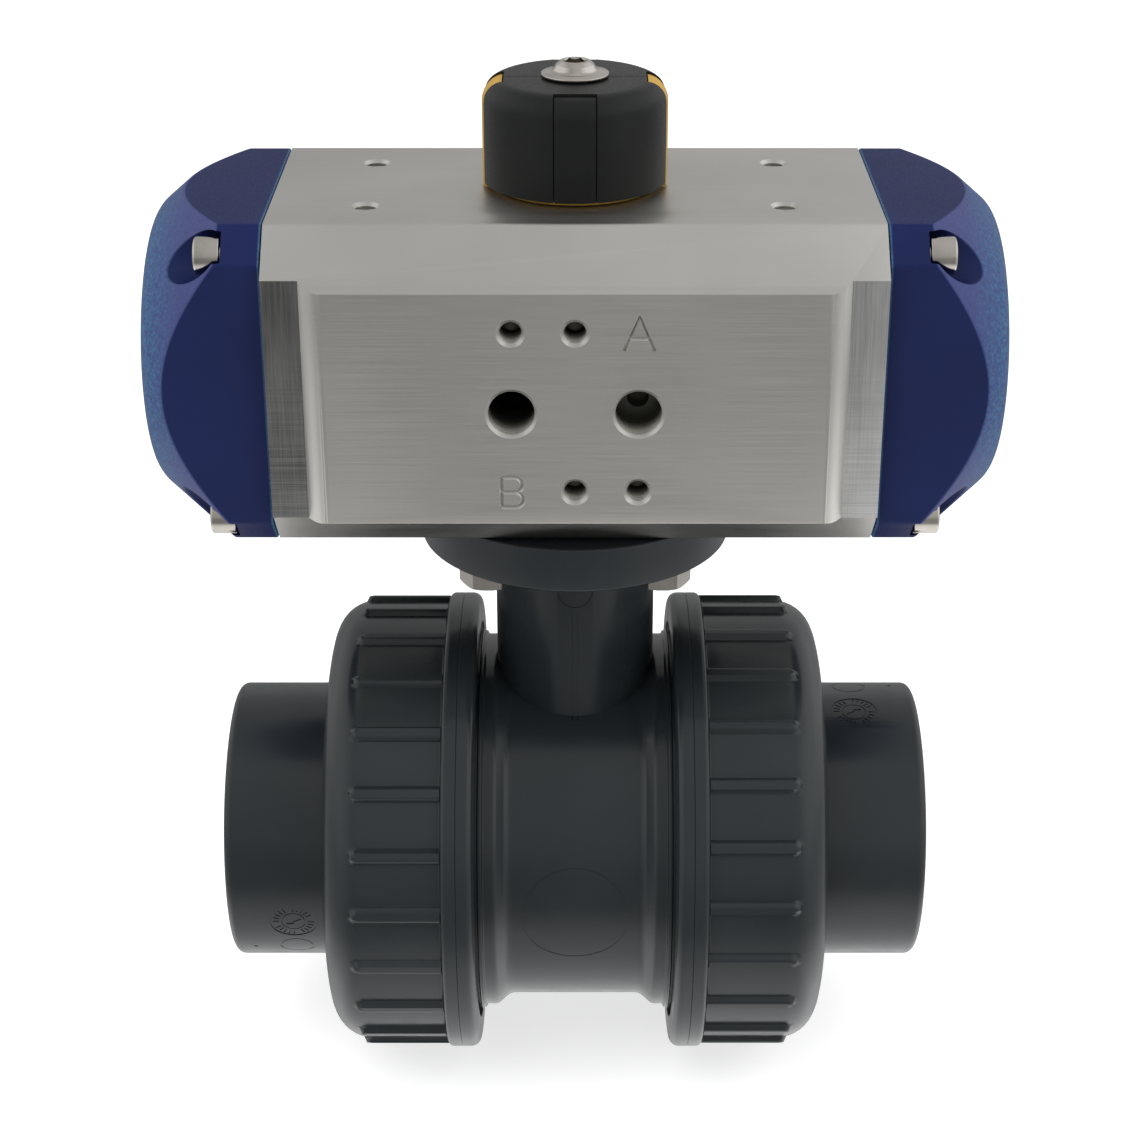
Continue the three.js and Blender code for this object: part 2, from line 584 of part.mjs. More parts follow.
// ---------------------------------------------------------------- unions

function unionEnd() {
  const socketFloor = END_FACE - SOCKET_DEPTH;
  return turnedX([
    [FLOW_R, COLLAR.start], [COLLAR.r, COLLAR.start], [COLLAR.r, COLLAR.end], [END_R, COLLAR.end],
    ...arc(END_R - 1.6, END_FACE - 1.6, 1.6, 0, Math.PI / 2, 2),
    [PIPE_R + 0.8, END_FACE], [PIPE_R, END_FACE - 1.5], [PIPE_R, socketFloor], [FLOW_R, socketFloor],
  ]);
}

function endSeal() {
  const start = SPIGOT_END - END_SEAL.depth + GAP;
  return ringX(END_SEAL.innerR + GAP, END_SEAL.outerR - GAP, start, COLLAR.start - GAP);
}

function ribbedOutline() {
  const outline = [];
  const step = 2 * Math.PI / RIBS.count;
  const foot = RIBS.halfWidth / NUT_R;
  const tip = foot * 0.85;
  for (let rib = 0; rib < RIBS.count; rib++) {
    const centre = (rib + 0.5) * step;
    for (const [r, offset] of [[NUT_R, -foot], [RIBS.tipR, -tip], [RIBS.tipR, tip], [NUT_R, foot]]) {
      outline.push([r * Math.cos(centre + offset), r * Math.sin(centre + offset)]);
    }
  }
  return outline;
}

function unionNut() {
  const ring = rod('x', NUT.start, NUT.ringEnd, NUT_RING_R, [0, 0], FINE);
  const grip = prismX(ribbedOutline(), NUT.ringEnd - 1, NUT.ribEnd);
  const roundStart = Math.asin((NUT.ribEnd + NUT_SHOULDER_R - NUT.end) / NUT_SHOULDER_R);
  const [centreR, centreX] = [NUT_R - NUT_SHOULDER_R, NUT.end - NUT_SHOULDER_R];
  const round = arc(centreR, centreX, NUT_SHOULDER_R, roundStart, Math.PI / 2, 4);
  const shoulder = turnedX([
    [0, NUT.ribEnd - 1], [NUT_R, NUT.ribEnd - 1], ...round, [0, NUT.end],
  ]);
  return cut(join(ring, grip, shoulder),
    rod('x', NUT.start - 1, COLLAR.end + GAP, NUT_BORE_R, [0, 0], FINE),
    rod('x', COLLAR.end, NUT.end + 1, END_R + 0.4, [0, 0], FINE));
}

// ---------------------------------------------------------------- assembly

const finishes = {
  anodised: { color: 0x9a9994, roughness: 0.45, metalness: 0.9 },
  blueShell: { color: 0x2b4a78, roughness: 0.5, metalness: 0 },
  darkPvc: { color: 0x3a4045, roughness: 0.35, metalness: 0 },
  blackShell: { color: 0x232424, roughness: 0.45, metalness: 0 },
  yellowShell: { color: 0xd4a546, roughness: 0.5, metalness: 0 },
  stainless: { color: 0xb4afa5, roughness: 0.3, metalness: 1 },
  castAlloy: { color: 0xa8a8a6, roughness: 0.55, metalness: 0.9 },
  nitrile: { color: 0x151515, roughness: 0.8, metalness: 0 },
  bearing: { color: 0xd8d2c0, roughness: 0.55, metalness: 0 },
  fluoro: { color: 0xf0efe9, roughness: 0.4, metalness: 0 },
};

const assembly = new THREE.Group();

function add(name, body, finish, turnZ = 0) {
  const { vertProperties, triVerts } = body.getMesh();
  const geometry = new THREE.BufferGeometry();
  geometry.setAttribute('position', new THREE.BufferAttribute(Float32Array.from(vertProperties), 3));
  geometry.setIndex(new THREE.BufferAttribute(Uint32Array.from(triVerts), 1));
  geometry.computeVertexNormals();
  const mesh = new THREE.Mesh(geometry, new THREE.MeshStandardMaterial(finishes[finish]));
  mesh.name = name;
  mesh.rotation.z = turnZ;
  assembly.add(mesh);
}

add('actuator_body', actuatorBody(), 'anodised');
add('valve_body', valveBody(), 'darkPvc');
add('seat_carrier', seatCarrier(), 'darkPvc');

for (const [side, turnZ] of [['right', 0], ['left', Math.PI]]) {
  add(`end_cap_${side}`, endCap(), 'blueShell', turnZ);
  add(`cap_gasket_${side}`, capGasket(), 'nitrile', turnZ);
  corners.forEach((corner, i) => add(`cap_screw_${side}_${i + 1}`, capScrew(corner), 'stainless', turnZ));
  add(`piston_${side}`, piston(), 'castAlloy', turnZ);
  add(`piston_seal_${side}`, pistonSeal(), 'nitrile', turnZ);
  add(`piston_band_${side}`, pistonBand(), 'bearing', turnZ);
  add(`ball_seat_${side}`, ballSeat(), 'fluoro', turnZ);
  add(`end_seal_${side}`, endSeal(), 'nitrile', turnZ);
  add(`union_end_${side}`, unionEnd(), 'darkPvc', turnZ);
  add(`union_nut_${side}`, unionNut(), 'darkPvc', turnZ);
}

add('indicator_base', indicatorBase(), 'yellowShell');
add('indicator_insert_rear', indicatorInsert(), 'blackShell', Math.PI / 2);
add('indicator_insert_front', indicatorInsert(), 'blackShell', -Math.PI / 2);
add('indicator_knob', indicatorKnob(), 'blackShell');
add('indicator_screw', indicatorScrew(), 'stainless');

add('pinion_shaft', pinionShaft(), 'stainless');
add('pinion_bush_lower', ringZ(LOWER_JOURNAL_R + GAP, LOWER_BORE_R - GAP, ...BUSH_HEIGHTS.lower), 'bearing');
add('pinion_bush_upper', ringZ(UPPER_JOURNAL_R + GAP, UPPER_BORE_R - GAP, ...BUSH_HEIGHTS.upper), 'bearing');
add('pinion_seal_lower',
  grooveRing(LOWER_JOURNAL_R, LOWER_BORE_R - 0.4, PINION.lowerSeal, PINION.sealDepth), 'nitrile');
add('pinion_seal_upper',
  grooveRing(UPPER_JOURNAL_R, UPPER_BORE_R - GAP, PINION.upperSeal, PINION.sealDepth), 'nitrile');
add('thrust_washer', ringZ(UPPER_JOURNAL_R + GAP, 12.6, BODY_TOP + GAP, BODY_TOP + 1.1), 'bearing');
add('retaining_ring', retainingRing(), 'stainless');

corners.forEach((corner, i) => add(`flange_bolt_${i + 1}`, flangeBolt(corner), 'stainless'));
add('stem_coupling', stemCoupling(), 'stainless');
add('valve_stem', valveStem(), 'darkPvc');
STEM_SEAL.starts.forEach((start, i) => add(`stem_seal_${['lower', 'upper'][i]}`, stemSeal(start), 'nitrile'));
add('valve_ball', ball(), 'darkPvc');

export default assembly;
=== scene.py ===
"""Rotary pneumatic actuator on a true-union ball valve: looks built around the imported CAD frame."""
import json
import math

import bmesh
import bpy
from mathutils import Matrix, Vector


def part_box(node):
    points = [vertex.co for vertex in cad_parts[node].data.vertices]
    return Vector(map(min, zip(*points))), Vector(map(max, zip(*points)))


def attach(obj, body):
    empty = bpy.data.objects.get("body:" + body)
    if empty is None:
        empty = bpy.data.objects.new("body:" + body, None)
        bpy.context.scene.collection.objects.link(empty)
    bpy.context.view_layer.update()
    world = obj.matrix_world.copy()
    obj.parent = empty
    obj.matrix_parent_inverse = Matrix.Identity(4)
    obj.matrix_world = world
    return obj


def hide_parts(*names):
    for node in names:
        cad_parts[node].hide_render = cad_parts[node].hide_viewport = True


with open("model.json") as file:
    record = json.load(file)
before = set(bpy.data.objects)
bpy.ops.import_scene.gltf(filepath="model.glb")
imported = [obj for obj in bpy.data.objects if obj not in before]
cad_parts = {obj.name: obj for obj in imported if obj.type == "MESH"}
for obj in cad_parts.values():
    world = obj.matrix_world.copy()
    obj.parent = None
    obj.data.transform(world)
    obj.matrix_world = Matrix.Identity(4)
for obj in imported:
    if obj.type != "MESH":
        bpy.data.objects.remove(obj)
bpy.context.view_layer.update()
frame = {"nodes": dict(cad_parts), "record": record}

MM = 0.001
record = frame["record"]
BODY_OF = {node: body for body, nodes in record["behaviour"]["bodies"].items() for node in nodes}
GAP = 0.3                # between neighbouring pieces, as in the CAD
FAR = 200                # past the object on any side


def span(node):
    """Lowest and highest corner of a CAD node, in millimetres."""
    low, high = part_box(node)
    return low / MM, high / MM


# ---------------------------------------------------------------- mesh making, in millimetres

AXES = {
    "X": lambda u, v, w: (w, u, v),
    "Y": lambda u, v, w: (v, w, u),
    "Z": lambda u, v, w: (u, v, w),
}


def link(name, verts, faces):
    mesh = bpy.data.meshes.new(name)
    mesh.from_pydata([tuple(v) for v in verts], [], faces)
    bm = bmesh.new()
    bm.from_mesh(mesh)
    bmesh.ops.recalc_face_normals(bm, faces=bm.faces)
    bm.to_mesh(mesh)
    bm.free()
    obj = bpy.data.objects.new(name, mesh)
    bpy.context.scene.collection.objects.link(obj)
    return obj


def rounded(points, closed=True, steps=5):
    """An outline whose (u, v, radius) corners become arcs. Its (u, v) corners stay sharp."""
    result = []
    count = len(points)
    for i, point in enumerate(points):
        here = Vector(point[:2])
        at_end = not closed and i in (0, count - 1)
        if len(point) < 3 or at_end:
            result.append(here)
            continue
        before = (Vector(points[i - 1][:2]) - here).normalized()
        after = (Vector(points[(i + 1) % count][:2]) - here).normalized()
        half = before.angle(after) / 2
        centre = here + (before + after).normalized() * point[2] / math.sin(half)
        first = here + before * point[2] / math.tan(half) - centre
        last = here + after * point[2] / math.tan(half) - centre
        turn = -first.angle_signed(last)
        result += [centre + Matrix.Rotation(turn * step / steps, 2) @ first for step in range(steps + 1)]
    return result


def arc(centre, r, start, end, steps=8):
    """Points on an arc, with its angles in degrees."""
    angles = [math.radians(start + (end - start) * i / steps) for i in range(steps + 1)]
    return [(centre[0] + r * math.cos(a), centre[1] + r * math.sin(a)) for a in angles]


def rings(name, loops):
    """A skin over rows of points, each row closed. A row of one point is a pole."""
    verts = [point for loop in loops for point in loop]
    starts = [0]
    for loop in loops:
        starts.append(starts[-1] + len(loop))
    around = max(len(loop) for loop in loops)
    pairs = list(zip(range(len(loops) - 1), range(1, len(loops))))
    if len(loops[0]) > 1 and len(loops[-1]) > 1:
        pairs.append((len(loops) - 1, 0))
    faces = []
    for a, b in pairs:
        for i in range(around):
            j = (i + 1) % around
            corners = [starts[a] + i % len(loops[a]), starts[a] + j % len(loops[a]),
                       starts[b] + j % len(loops[b]), starts[b] + i % len(loops[b])]
            corners = list(dict.fromkeys(corners))
            if len(corners) > 2:
                faces.append(corners)
    return link(name, verts, faces)


def turned(name, profile, axis="X", centre=(0, 0, 0), segments=96):
    """A solid of revolution from (radius, station) points. It closes on the axis, or on itself.
    An axis such as -Y counts its stations the other way."""
    put = AXES[axis[-1]]
    sign = -1 if axis[0] == "-" else 1
    centre = Vector(centre)
    loops = []
    for r, station in profile:
        count = segments if r > 1e-6 else 1
        turns = [math.tau * i / segments for i in range(count)]
        loops.append([Vector(put(r * math.cos(a), r * math.sin(a), sign * station)) + centre for a in turns])
    return rings(name, loops)


def prism(name, outline, start, end, axis="X"):
    put = AXES[axis]
    count = len(outline)
    verts = [put(u, v, w) for w in (start, end) for u, v in outline]
    faces = [list(range(count)), list(range(count, 2 * count))]
    faces += [[i, (i + 1) % count, count + (i + 1) % count, count + i] for i in range(count)]
    return link(name, verts, faces)


def block(name, low, high):
    (x0, y0, z0), (x1, y1, z1) = low, high
    return prism(name, [(x0, y0), (x1, y0), (x1, y1), (x0, y1)], z0, z1, "Z")


def rod(name, axis, start, end, r, centre=(0, 0, 0), segments=48):
    return turned(name, [(0, start), (r, start), (r, end), (0, end)], axis, centre, segments)


def hexagon(across_flats):
    r = across_flats / math.sqrt(3)
    return [(r * math.cos(math.radians(60 * i)), r * math.sin(math.radians(60 * i))) for i in range(6)]


def stroke(name, path, r, sides=4):
    """A closed bar, square with its corners up, along a list of points in one X-Z plane."""
    out = Vector((0, 1, 0))
    points = [Vector(p) for p in path]
    loops = [[points[0]]]
    for i, here in enumerate(points):
        along = (points[min(i + 1, len(points) - 1)] - points[max(i - 1, 0)]).normalized()
        across = along.cross(out)
        turns = [math.tau * k / sides for k in range(sides)]
        loops.append([here + r * (math.cos(a) * across + math.sin(a) * out) for a in turns])
    loops.append([points[-1]])
    return rings(name, loops)


def settle(obj):
    """Applies an object's modifiers."""
    graph = bpy.context.evaluated_depsgraph_get()
    graph.update()
    mesh = bpy.data.meshes.new_from_object(obj.evaluated_get(graph))
    obj.modifiers.clear()
    obj.data = mesh
    return obj


def combine(obj, others, operation):
    for other in others:
        modifier = obj.modifiers.new(operation, "BOOLEAN")
        modifier.object = other
        modifier.operation = operation
        modifier.solver = "EXACT"
    settle(obj)
    for other in others:
        bpy.data.objects.remove(other)
    return obj


def carve(obj, *cutters):
    return combine(obj, cutters, "DIFFERENCE")


def join(obj, *others):
    return combine(obj, others, "UNION")


def gather(first, *others):
    """One object from pieces that don't touch."""
    bm = bmesh.new()
    for piece in (first, *others):
        bm.from_mesh(piece.data)
    bm.to_mesh(first.data)
    bm.free()
    for piece in others:
        bpy.data.objects.remove(piece)
    return first


def skin_deep(cutter, axis, r, depth):
    """Keeps only what a cutter takes from the skin of a round part of radius r."""
    return carve(cutter, rod("core", axis, -FAR, FAR, r - depth, segments=160))


def soften(obj, width, segments=2, angle=40):
    modifier = obj.modifiers.new("edges", "BEVEL")
    modifier.width = width
    modifier.segments = segments
    modifier.limit_method = "ANGLE"
    modifier.angle_limit = math.radians(angle)
    return settle(obj)


def threaded_hole(name, minor_r, major_r, pitch, depth, mouth_r, axis, centre, tip=True):
    """What a threaded hole takes away: a sink at its mouth, then ring grooves down to its drill point."""
    sink = mouth_r - minor_r
    profile = [(0, 1), (mouth_r + 1, 1), (minor_r, -sink)]
    station = -sink
    while station - pitch > -depth:
        profile += [(minor_r, station - 0.1 * pitch), (major_r, station - 0.5 * pitch),
                    (minor_r, station - 0.9 * pitch)]
        station -= pitch
    profile += [(minor_r, -depth), (0, -depth - (0.5 * minor_r if tip else 0))]
    return turned(name, profile, axis, centre, 64)


def shade(obj, angle):
    """Smooth shading that keeps edges sharper than the angle."""
    mesh = obj.data
    bm = bmesh.new()
    bm.from_mesh(mesh)
    limit = math.radians(angle)
    for face in bm.faces:
        face.smooth = True
    for edge in bm.edges:
        edge.smooth = len(edge.link_faces) == 2 and edge.calc_face_angle(0) < limit
    bm.to_mesh(mesh)
    bm.free()


def place(obj, node, material, angle=30, turn=0):
    """Puts a finished piece in its place, in metres, standing for its CAD node."""
    obj.data.transform(Matrix.Rotation(turn, 4, "Z"))
    obj.data.transform(Matrix.Scale(MM, 4))
    shade(obj, angle)
    obj.data.materials.clear()
    obj.data.materials.append(material)
    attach(obj, BODY_OF[node])
    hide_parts(node)
    return obj


def carry(node, material):
    """A CAD node that stays as it is, with its material."""
    obj = frame["nodes"][node]
    obj.data.materials.clear()
    obj.data.materials.append(material)


# ---------------------------------------------------------------- materials

class Paint:
    """A Principled material. Values that are the same all over go straight on its sockets."""

    def __init__(self, name, **uniform):
        self.material = bpy.data.materials.new(name)
        self.material.use_nodes = True
        self.tree = self.material.node_tree
        self.shader = self.tree.nodes["Principled BSDF"]
        for socket, value in uniform.items():
            self.shader.inputs[socket.replace("_", " ")].default_value = value
        self.position = self.node("ShaderNodeTexCoord").outputs["Object"]

    def node(self, kind, links=(), **settings):
        made = self.tree.nodes.new(kind)
        for key, value in settings.items():
            setattr(made, key, value)
        for socket, value in dict(links).items():
            if isinstance(value, bpy.types.NodeSocket):
                self.tree.links.new(value, made.inputs[socket])
            else:
                made.inputs[socket].default_value = value
        return made

    def feed(self, socket, value):
        self.tree.links.new(value, self.shader.inputs[socket])

    def noise(self, size, detail=3, stretch=(1, 1, 1), roughness=0.5):
        """Noise with grains about size millimetres across, drawn out where stretch is small."""
        scaled = self.node("ShaderNodeMapping", {"Vector": self.position, "Scale": stretch}).outputs[0]
        links = {"Vector": scaled, "Scale": 1 / (size * MM), "Detail": detail, "Roughness": roughness}
        return self.node("ShaderNodeTexNoise", links).outputs["Fac"]

    def along(self, axis, start, end):
        """0 at start and 1 at end, in millimetres along an axis. |X| counts both ways from the middle."""
        parts = self.node("ShaderNodeSeparateXYZ", {"Vector": self.position}).outputs
        value = parts[axis.strip("|")]
        if axis == "|X|":
            value = self.math("ABSOLUTE", value)
        return self.spread(value, (start * MM, end * MM), (0, 1))

    def halo(self, inner, outer):
        """1 on a soft ring round each air port, between two radii in millimetres."""
        parts = self.node("ShaderNodeSeparateXYZ", {"Vector": self.position}).outputs
        across = self.math("SUBTRACT", self.math("ABSOLUTE", parts["X"]), PORT_HALF_SPACING * MM)
        up = self.math("SUBTRACT", parts["Z"], PORT_Z * MM)
        squares = self.math("ADD", self.math("POWER", across, 2.0), self.math("POWER", up, 2.0))
        reach = self.math("POWER", squares, 0.5)
        middle = self.math("ABSOLUTE", self.math("SUBTRACT", reach, (inner + outer) / 2 * MM))
        return self.spread(middle, ((outer - inner) / 2 * MM, 0.0), (0, 1))

    def math(self, operation, a, b=0.0):
        return self.node("ShaderNodeMath", {0: a, 1: b}, operation=operation).outputs[0]

    def spread(self, value, source, target):
        links = {"Value": value, "From Min": source[0], "From Max": source[1],
                 "To Min": target[0], "To Max": target[1]}
        return self.node("ShaderNodeMapRange", links).outputs["Result"]

    def ramp(self, value, *stops):
        """A colour ramp with (position, colour) stops."""
        made = self.node("ShaderNodeValToRGB", {"Fac": value})
        points = made.color_ramp.elements
        while len(points) < len(stops):
            points.new(0.5)
        for point, (position, colour) in zip(points, stops):
            point.position = position
            point.color = (*colour, 1)
        return made.outputs["Color"]

    def mix(self, factor, a, b):
        made = self.node("ShaderNodeMix", data_type="RGBA")
        for index, value in ((0, factor), (6, a), (7, b)):
            if isinstance(value, bpy.types.NodeSocket):
                self.tree.links.new(value, made.inputs[index])
            else:
                made.inputs[index].default_value = value if index == 0 else (*value, 1)
        return made.outputs[2]

    def bump(self, *layers):
        """Bump from (height, depth in millimetres) layers."""
        normal = None
        for height, depth in layers:
            links = {"Height": height, "Distance": depth * MM, "Strength": 1.0}
            if normal is not None:
                links["Normal"] = normal
            normal = self.node("ShaderNodeBump", links).outputs["Normal"]
        self.feed("Normal", normal)


def anodised():
    """Drawn along X. A fitting's washer has left a faint ring round each port."""
    paint = Paint("anodised", Metallic=1.0)
    drawn = paint.noise(0.25, 4, (0.01, 1, 1))
    cloud = paint.noise(30, 3)
    clean = paint.ramp(cloud, (0.3, (0.60, 0.588, 0.555)), (0.7, (0.66, 0.647, 0.612)))
    stain = paint.halo(7.2, 8.4)
    paint.feed("Base Color", paint.mix(paint.math("MULTIPLY", stain, 0.5), clean, (0.66, 0.64, 0.60)))
    paint.feed("Roughness", paint.spread(drawn, (0.3, 0.7), (0.34, 0.46)))
    paint.bump((paint.noise(0.16, 2), 0.004), (drawn, 0.003))
    return paint.material


def bored():
    """Inside the drilled and tapped holes, with painted shade deeper in."""
    paint = Paint("bored", Metallic=1.0)
    chatter = paint.noise(0.12, 3, (1, 0.3, 1))
    bright = paint.ramp(chatter, (0.3, (0.42, 0.41, 0.37)), (0.7, (0.54, 0.52, 0.47)))
    # painted shade: the base colour darkens deeper into the holes
    painted_shade = paint.along("Y", PAD_Y + 3, PAD_Y + 7)
    paint.feed("Base Color", paint.mix(painted_shade, bright, (0.10, 0.10, 0.085)))
    paint.feed("Roughness", paint.spread(chatter, (0.3, 0.7), (0.3, 0.42)))
    paint.bump((chatter, 0.003))
    return paint.material


def milled(name, dark, light):
    """Aluminium straight from the cutter. Its marks run up the face, and cross near the low end."""
    paint = Paint(name, Metallic=1.0)
    marks = paint.noise(0.22, 5, (1, 1, 0.012), 0.7)
    hatch = paint.noise(0.3, 3, (0.012, 1, 1), 0.6)
    low_end = paint.along("Z", BORE_Z + 12, BORE_Z - 14)
    crossed = paint.math("ADD", marks, paint.math("MULTIPLY", paint.math("SUBTRACT", hatch, 0.5), low_end))
    cloud = paint.noise(9, 3, (1, 1, 0.5))
    shade_of = paint.math("ADD", paint.math("MULTIPLY", crossed, 0.6), paint.math("MULTIPLY", cloud, 0.4))
    # dark and light carry the grain's tone, and also each copy's painted shade or painted reflection
    paint.feed("Base Color", paint.ramp(shade_of, (0.35, dark), (0.65, light)))
    paint.feed("Roughness", paint.spread(marks, (0.3, 0.7), (0.32, 0.5)))
    paint.bump((marks, 0.012))
    return paint.material


def blue_shell():
    """Moulded blue plastic. The cone and the rounded end are painted paler, a painted sheen, with teal
    speckles towards the end. The rim by the body is teal too."""
    paint = Paint("blue_shell", Specular_IOR_Level=0.16)
    grain = paint.noise(0.4, 3)
    speckle = paint.noise(0.75, 5, roughness=0.75)
    cloud = paint.noise(18, 3)
    smooth = paint.ramp(cloud, (0.3, (0.0050, 0.0104, 0.056)), (0.7, (0.0064, 0.0130, 0.070)))
    # painted sheen: the paler blue on the cone and the rounded end
    painted_sheen = paint.ramp(speckle, (0.35, (0.037, 0.046, 0.142)), (0.65, (0.049, 0.062, 0.175)))
    teal = paint.ramp(speckle, (0.38, (0.030, 0.062, 0.160)), (0.62, (0.044, 0.128, 0.240)))
    low, high = span("end_cap_right")
    parts = paint.node("ShaderNodeSeparateXYZ", {"Vector": paint.position}).outputs
    across = paint.math("POWER", paint.math("DIVIDE", parts["Y"], CAP_DOME_WIDEN), 2.0)
    up = paint.math("POWER", paint.math("SUBTRACT", parts["Z"], BORE_Z * MM), 2.0)
    reach = paint.math("MULTIPLY", paint.math("POWER", paint.math("ADD", across, up), 0.5), CAP_CONE_SLOPE)
    depth = paint.math("ADD", paint.math("ABSOLUTE", parts["X"]), reach)
    surface = high.x + CAP_CONE_SLOPE * CAP_CONE_MEETS_END_R
    on_cone = paint.spread(depth, ((surface - 0.5) * MM, (surface - 0.15) * MM), (0, 1))
    # where the painted sheen goes: the cone and the rounded end
    dome = paint.math("MAXIMUM", on_cone, paint.along("|X|", high.x - 4.8, high.x - 4.2))
    at_end = paint.along("|X|", high.x - 9, high.x - 2)
    ragged = paint.math("MULTIPLY", at_end, paint.spread(speckle, (0.35, 0.6), (0.2, 1)))
    edge = paint.along("|X|", low.x + 0.45, low.x + 0.15)
    skin = paint.mix(dome, smooth, paint.mix(ragged, painted_sheen, teal))
    paint.feed("Base Color", paint.mix(edge, skin, teal))
    paint.feed("Roughness", paint.spread(grain, (0.3, 0.7), (0.42, 0.56)))
    paint.bump((grain, 0.008), (speckle, 0.006))
    return paint.material


def grey_pvc():
    paint = Paint("grey_pvc", Specular_IOR_Level=0.45)
    cloud = paint.noise(25, 3)
    haze = paint.noise(6, 4)
    grey = paint.ramp(cloud, (0.3, (0.012, 0.0155, 0.0178)), (0.7, (0.016, 0.0200, 0.0225)))
    paint.feed("Base Color", grey)
    paint.feed("Roughness", paint.spread(haze, (0.3, 0.7), (0.18, 0.27)))
    paint.bump((paint.noise(0.5, 3), 0.0009))
    return paint.material


def moulded(name, dark, light, roughness, grain_size=0.35, depth=0.012):
    """Fine-grained moulded plastic or rubber."""
    paint = Paint(name, Specular_IOR_Level=0.25)
    grain = paint.noise(grain_size, 3)
    cloud = paint.noise(10, 3)
    paint.feed("Base Color", paint.ramp(cloud, (0.3, dark), (0.7, light)))
    paint.feed("Roughness", paint.spread(grain, (0.3, 0.7), (roughness - 0.06, roughness + 0.08)))
    paint.bump((grain, depth))
    return paint.material


def metal(name, dark, light, roughness, stretch=(1, 1, 1), grain=0.08):
    """Machined or cast metal, whose marks a given stretch draws out along an axis."""
    paint = Paint(name, Metallic=1.0)
    marks = paint.noise(grain, 3, stretch)
    cloud = paint.noise(5, 3)
    paint.feed("Base Color", paint.ramp(cloud, (0.3, dark), (0.7, light)))
    paint.feed("Roughness", paint.spread(marks, (0.3, 0.7), (roughness - 0.03, roughness + 0.05)))
    paint.bump((marks, 0.01 * grain))
    return paint.material


# ---------------------------------------------------------------- actuator housing

body_low, body_high = span("actuator_body")
BORE_Z = (body_low.z + body_high.z) / 2
HALF_HEIGHT = (body_high.z - body_low.z) / 2
HALF_LENGTH = body_high.x
PAD_Y = body_low.y
BACK_Y = body_high.y
BORE_R = 25
UPPER_BORE_R = 11.7
LOWER_BORE_R = 15.9
FLAT_HALF_WIDTH = 26.6
END_ZONE_Y = -35.6
PAD_HALF_LENGTH = 47
PAD_ROUND_END = 51.3
PORT_Z = 110.6
PORT_HALF_SPACING = 12
PAD_HOLE_RISE = 16
PORT_THREAD = {"minor_r": 4.4, "major_r": 4.75, "pitch": 0.907, "mouth_r": 4.98}
M5_THREAD = {"minor_r": 2.1, "major_r": 2.5, "pitch": 0.8, "mouth_r": 2.75}
LETTER_GROOVE_R = 0.46
PORT_A_DEPTH = 7.5
PORT_B_DEPTH = -PAD_Y - 20
PAD_HOLE_DEPTH = 8
TOP_HOLE_DEPTH = 7
TOP_HOLE_X = 40
TOP_HOLE_Y = 15
BOLT_HOLE_R = 3.3
SCREW_HOLE_R = 2.3


def letter_strokes():
    """V grooves for the port letters: A over the right port, B under the left one."""
    right = [(-2.75, -3.4), (0, 3.4), (2.75, -3.4)]
    bar = [(-1.75, -0.9), (1.75, -0.9)]
    stem = [(-2, -3.1), (-2, 3.1)]
    upper = [(-2, 3.1), *arc((0.4, 1.55), 1.55, 90, -90), (-2, 0)]
    lower = [(-2, 0), *arc((0.6, -1.55), 1.55, 90, -90), (-2, -3.1)]
    places = [(right, 1), (bar, 1), (stem, -1), (upper, -1), (lower, -1)]
    paths = []
    for shape, side in places:
        at_x, at_z = side * PORT_HALF_SPACING, PORT_Z + side * PAD_HOLE_RISE
        paths.append([(at_x + u, PAD_Y, at_z + v) for u, v in shape])
    return [stroke("letter", path, LETTER_GROOVE_R) for path in paths]


def end_zone_cutter(side):
    """What the cutter takes from one end of the pad: an arc down from the pad, then a flat to the end."""
    step = END_ZONE_Y - PAD_Y
    run = PAD_ROUND_END - PAD_HALF_LENGTH
    r = (run * run + step * step) / (2 * step)
    turn = math.degrees(math.asin(run / r))
    outline = [*arc((PAD_HALF_LENGTH, PAD_Y + r), r, -90, -90 + turn, 10),
               (HALF_LENGTH + 1, END_ZONE_Y), (HALF_LENGTH + 1, PAD_Y - 2), (PAD_HALF_LENGTH, PAD_Y - 2)]
    return prism("end_zone", [(side * x, y) for x, y in outline], body_low.z, body_high.z, "Z")


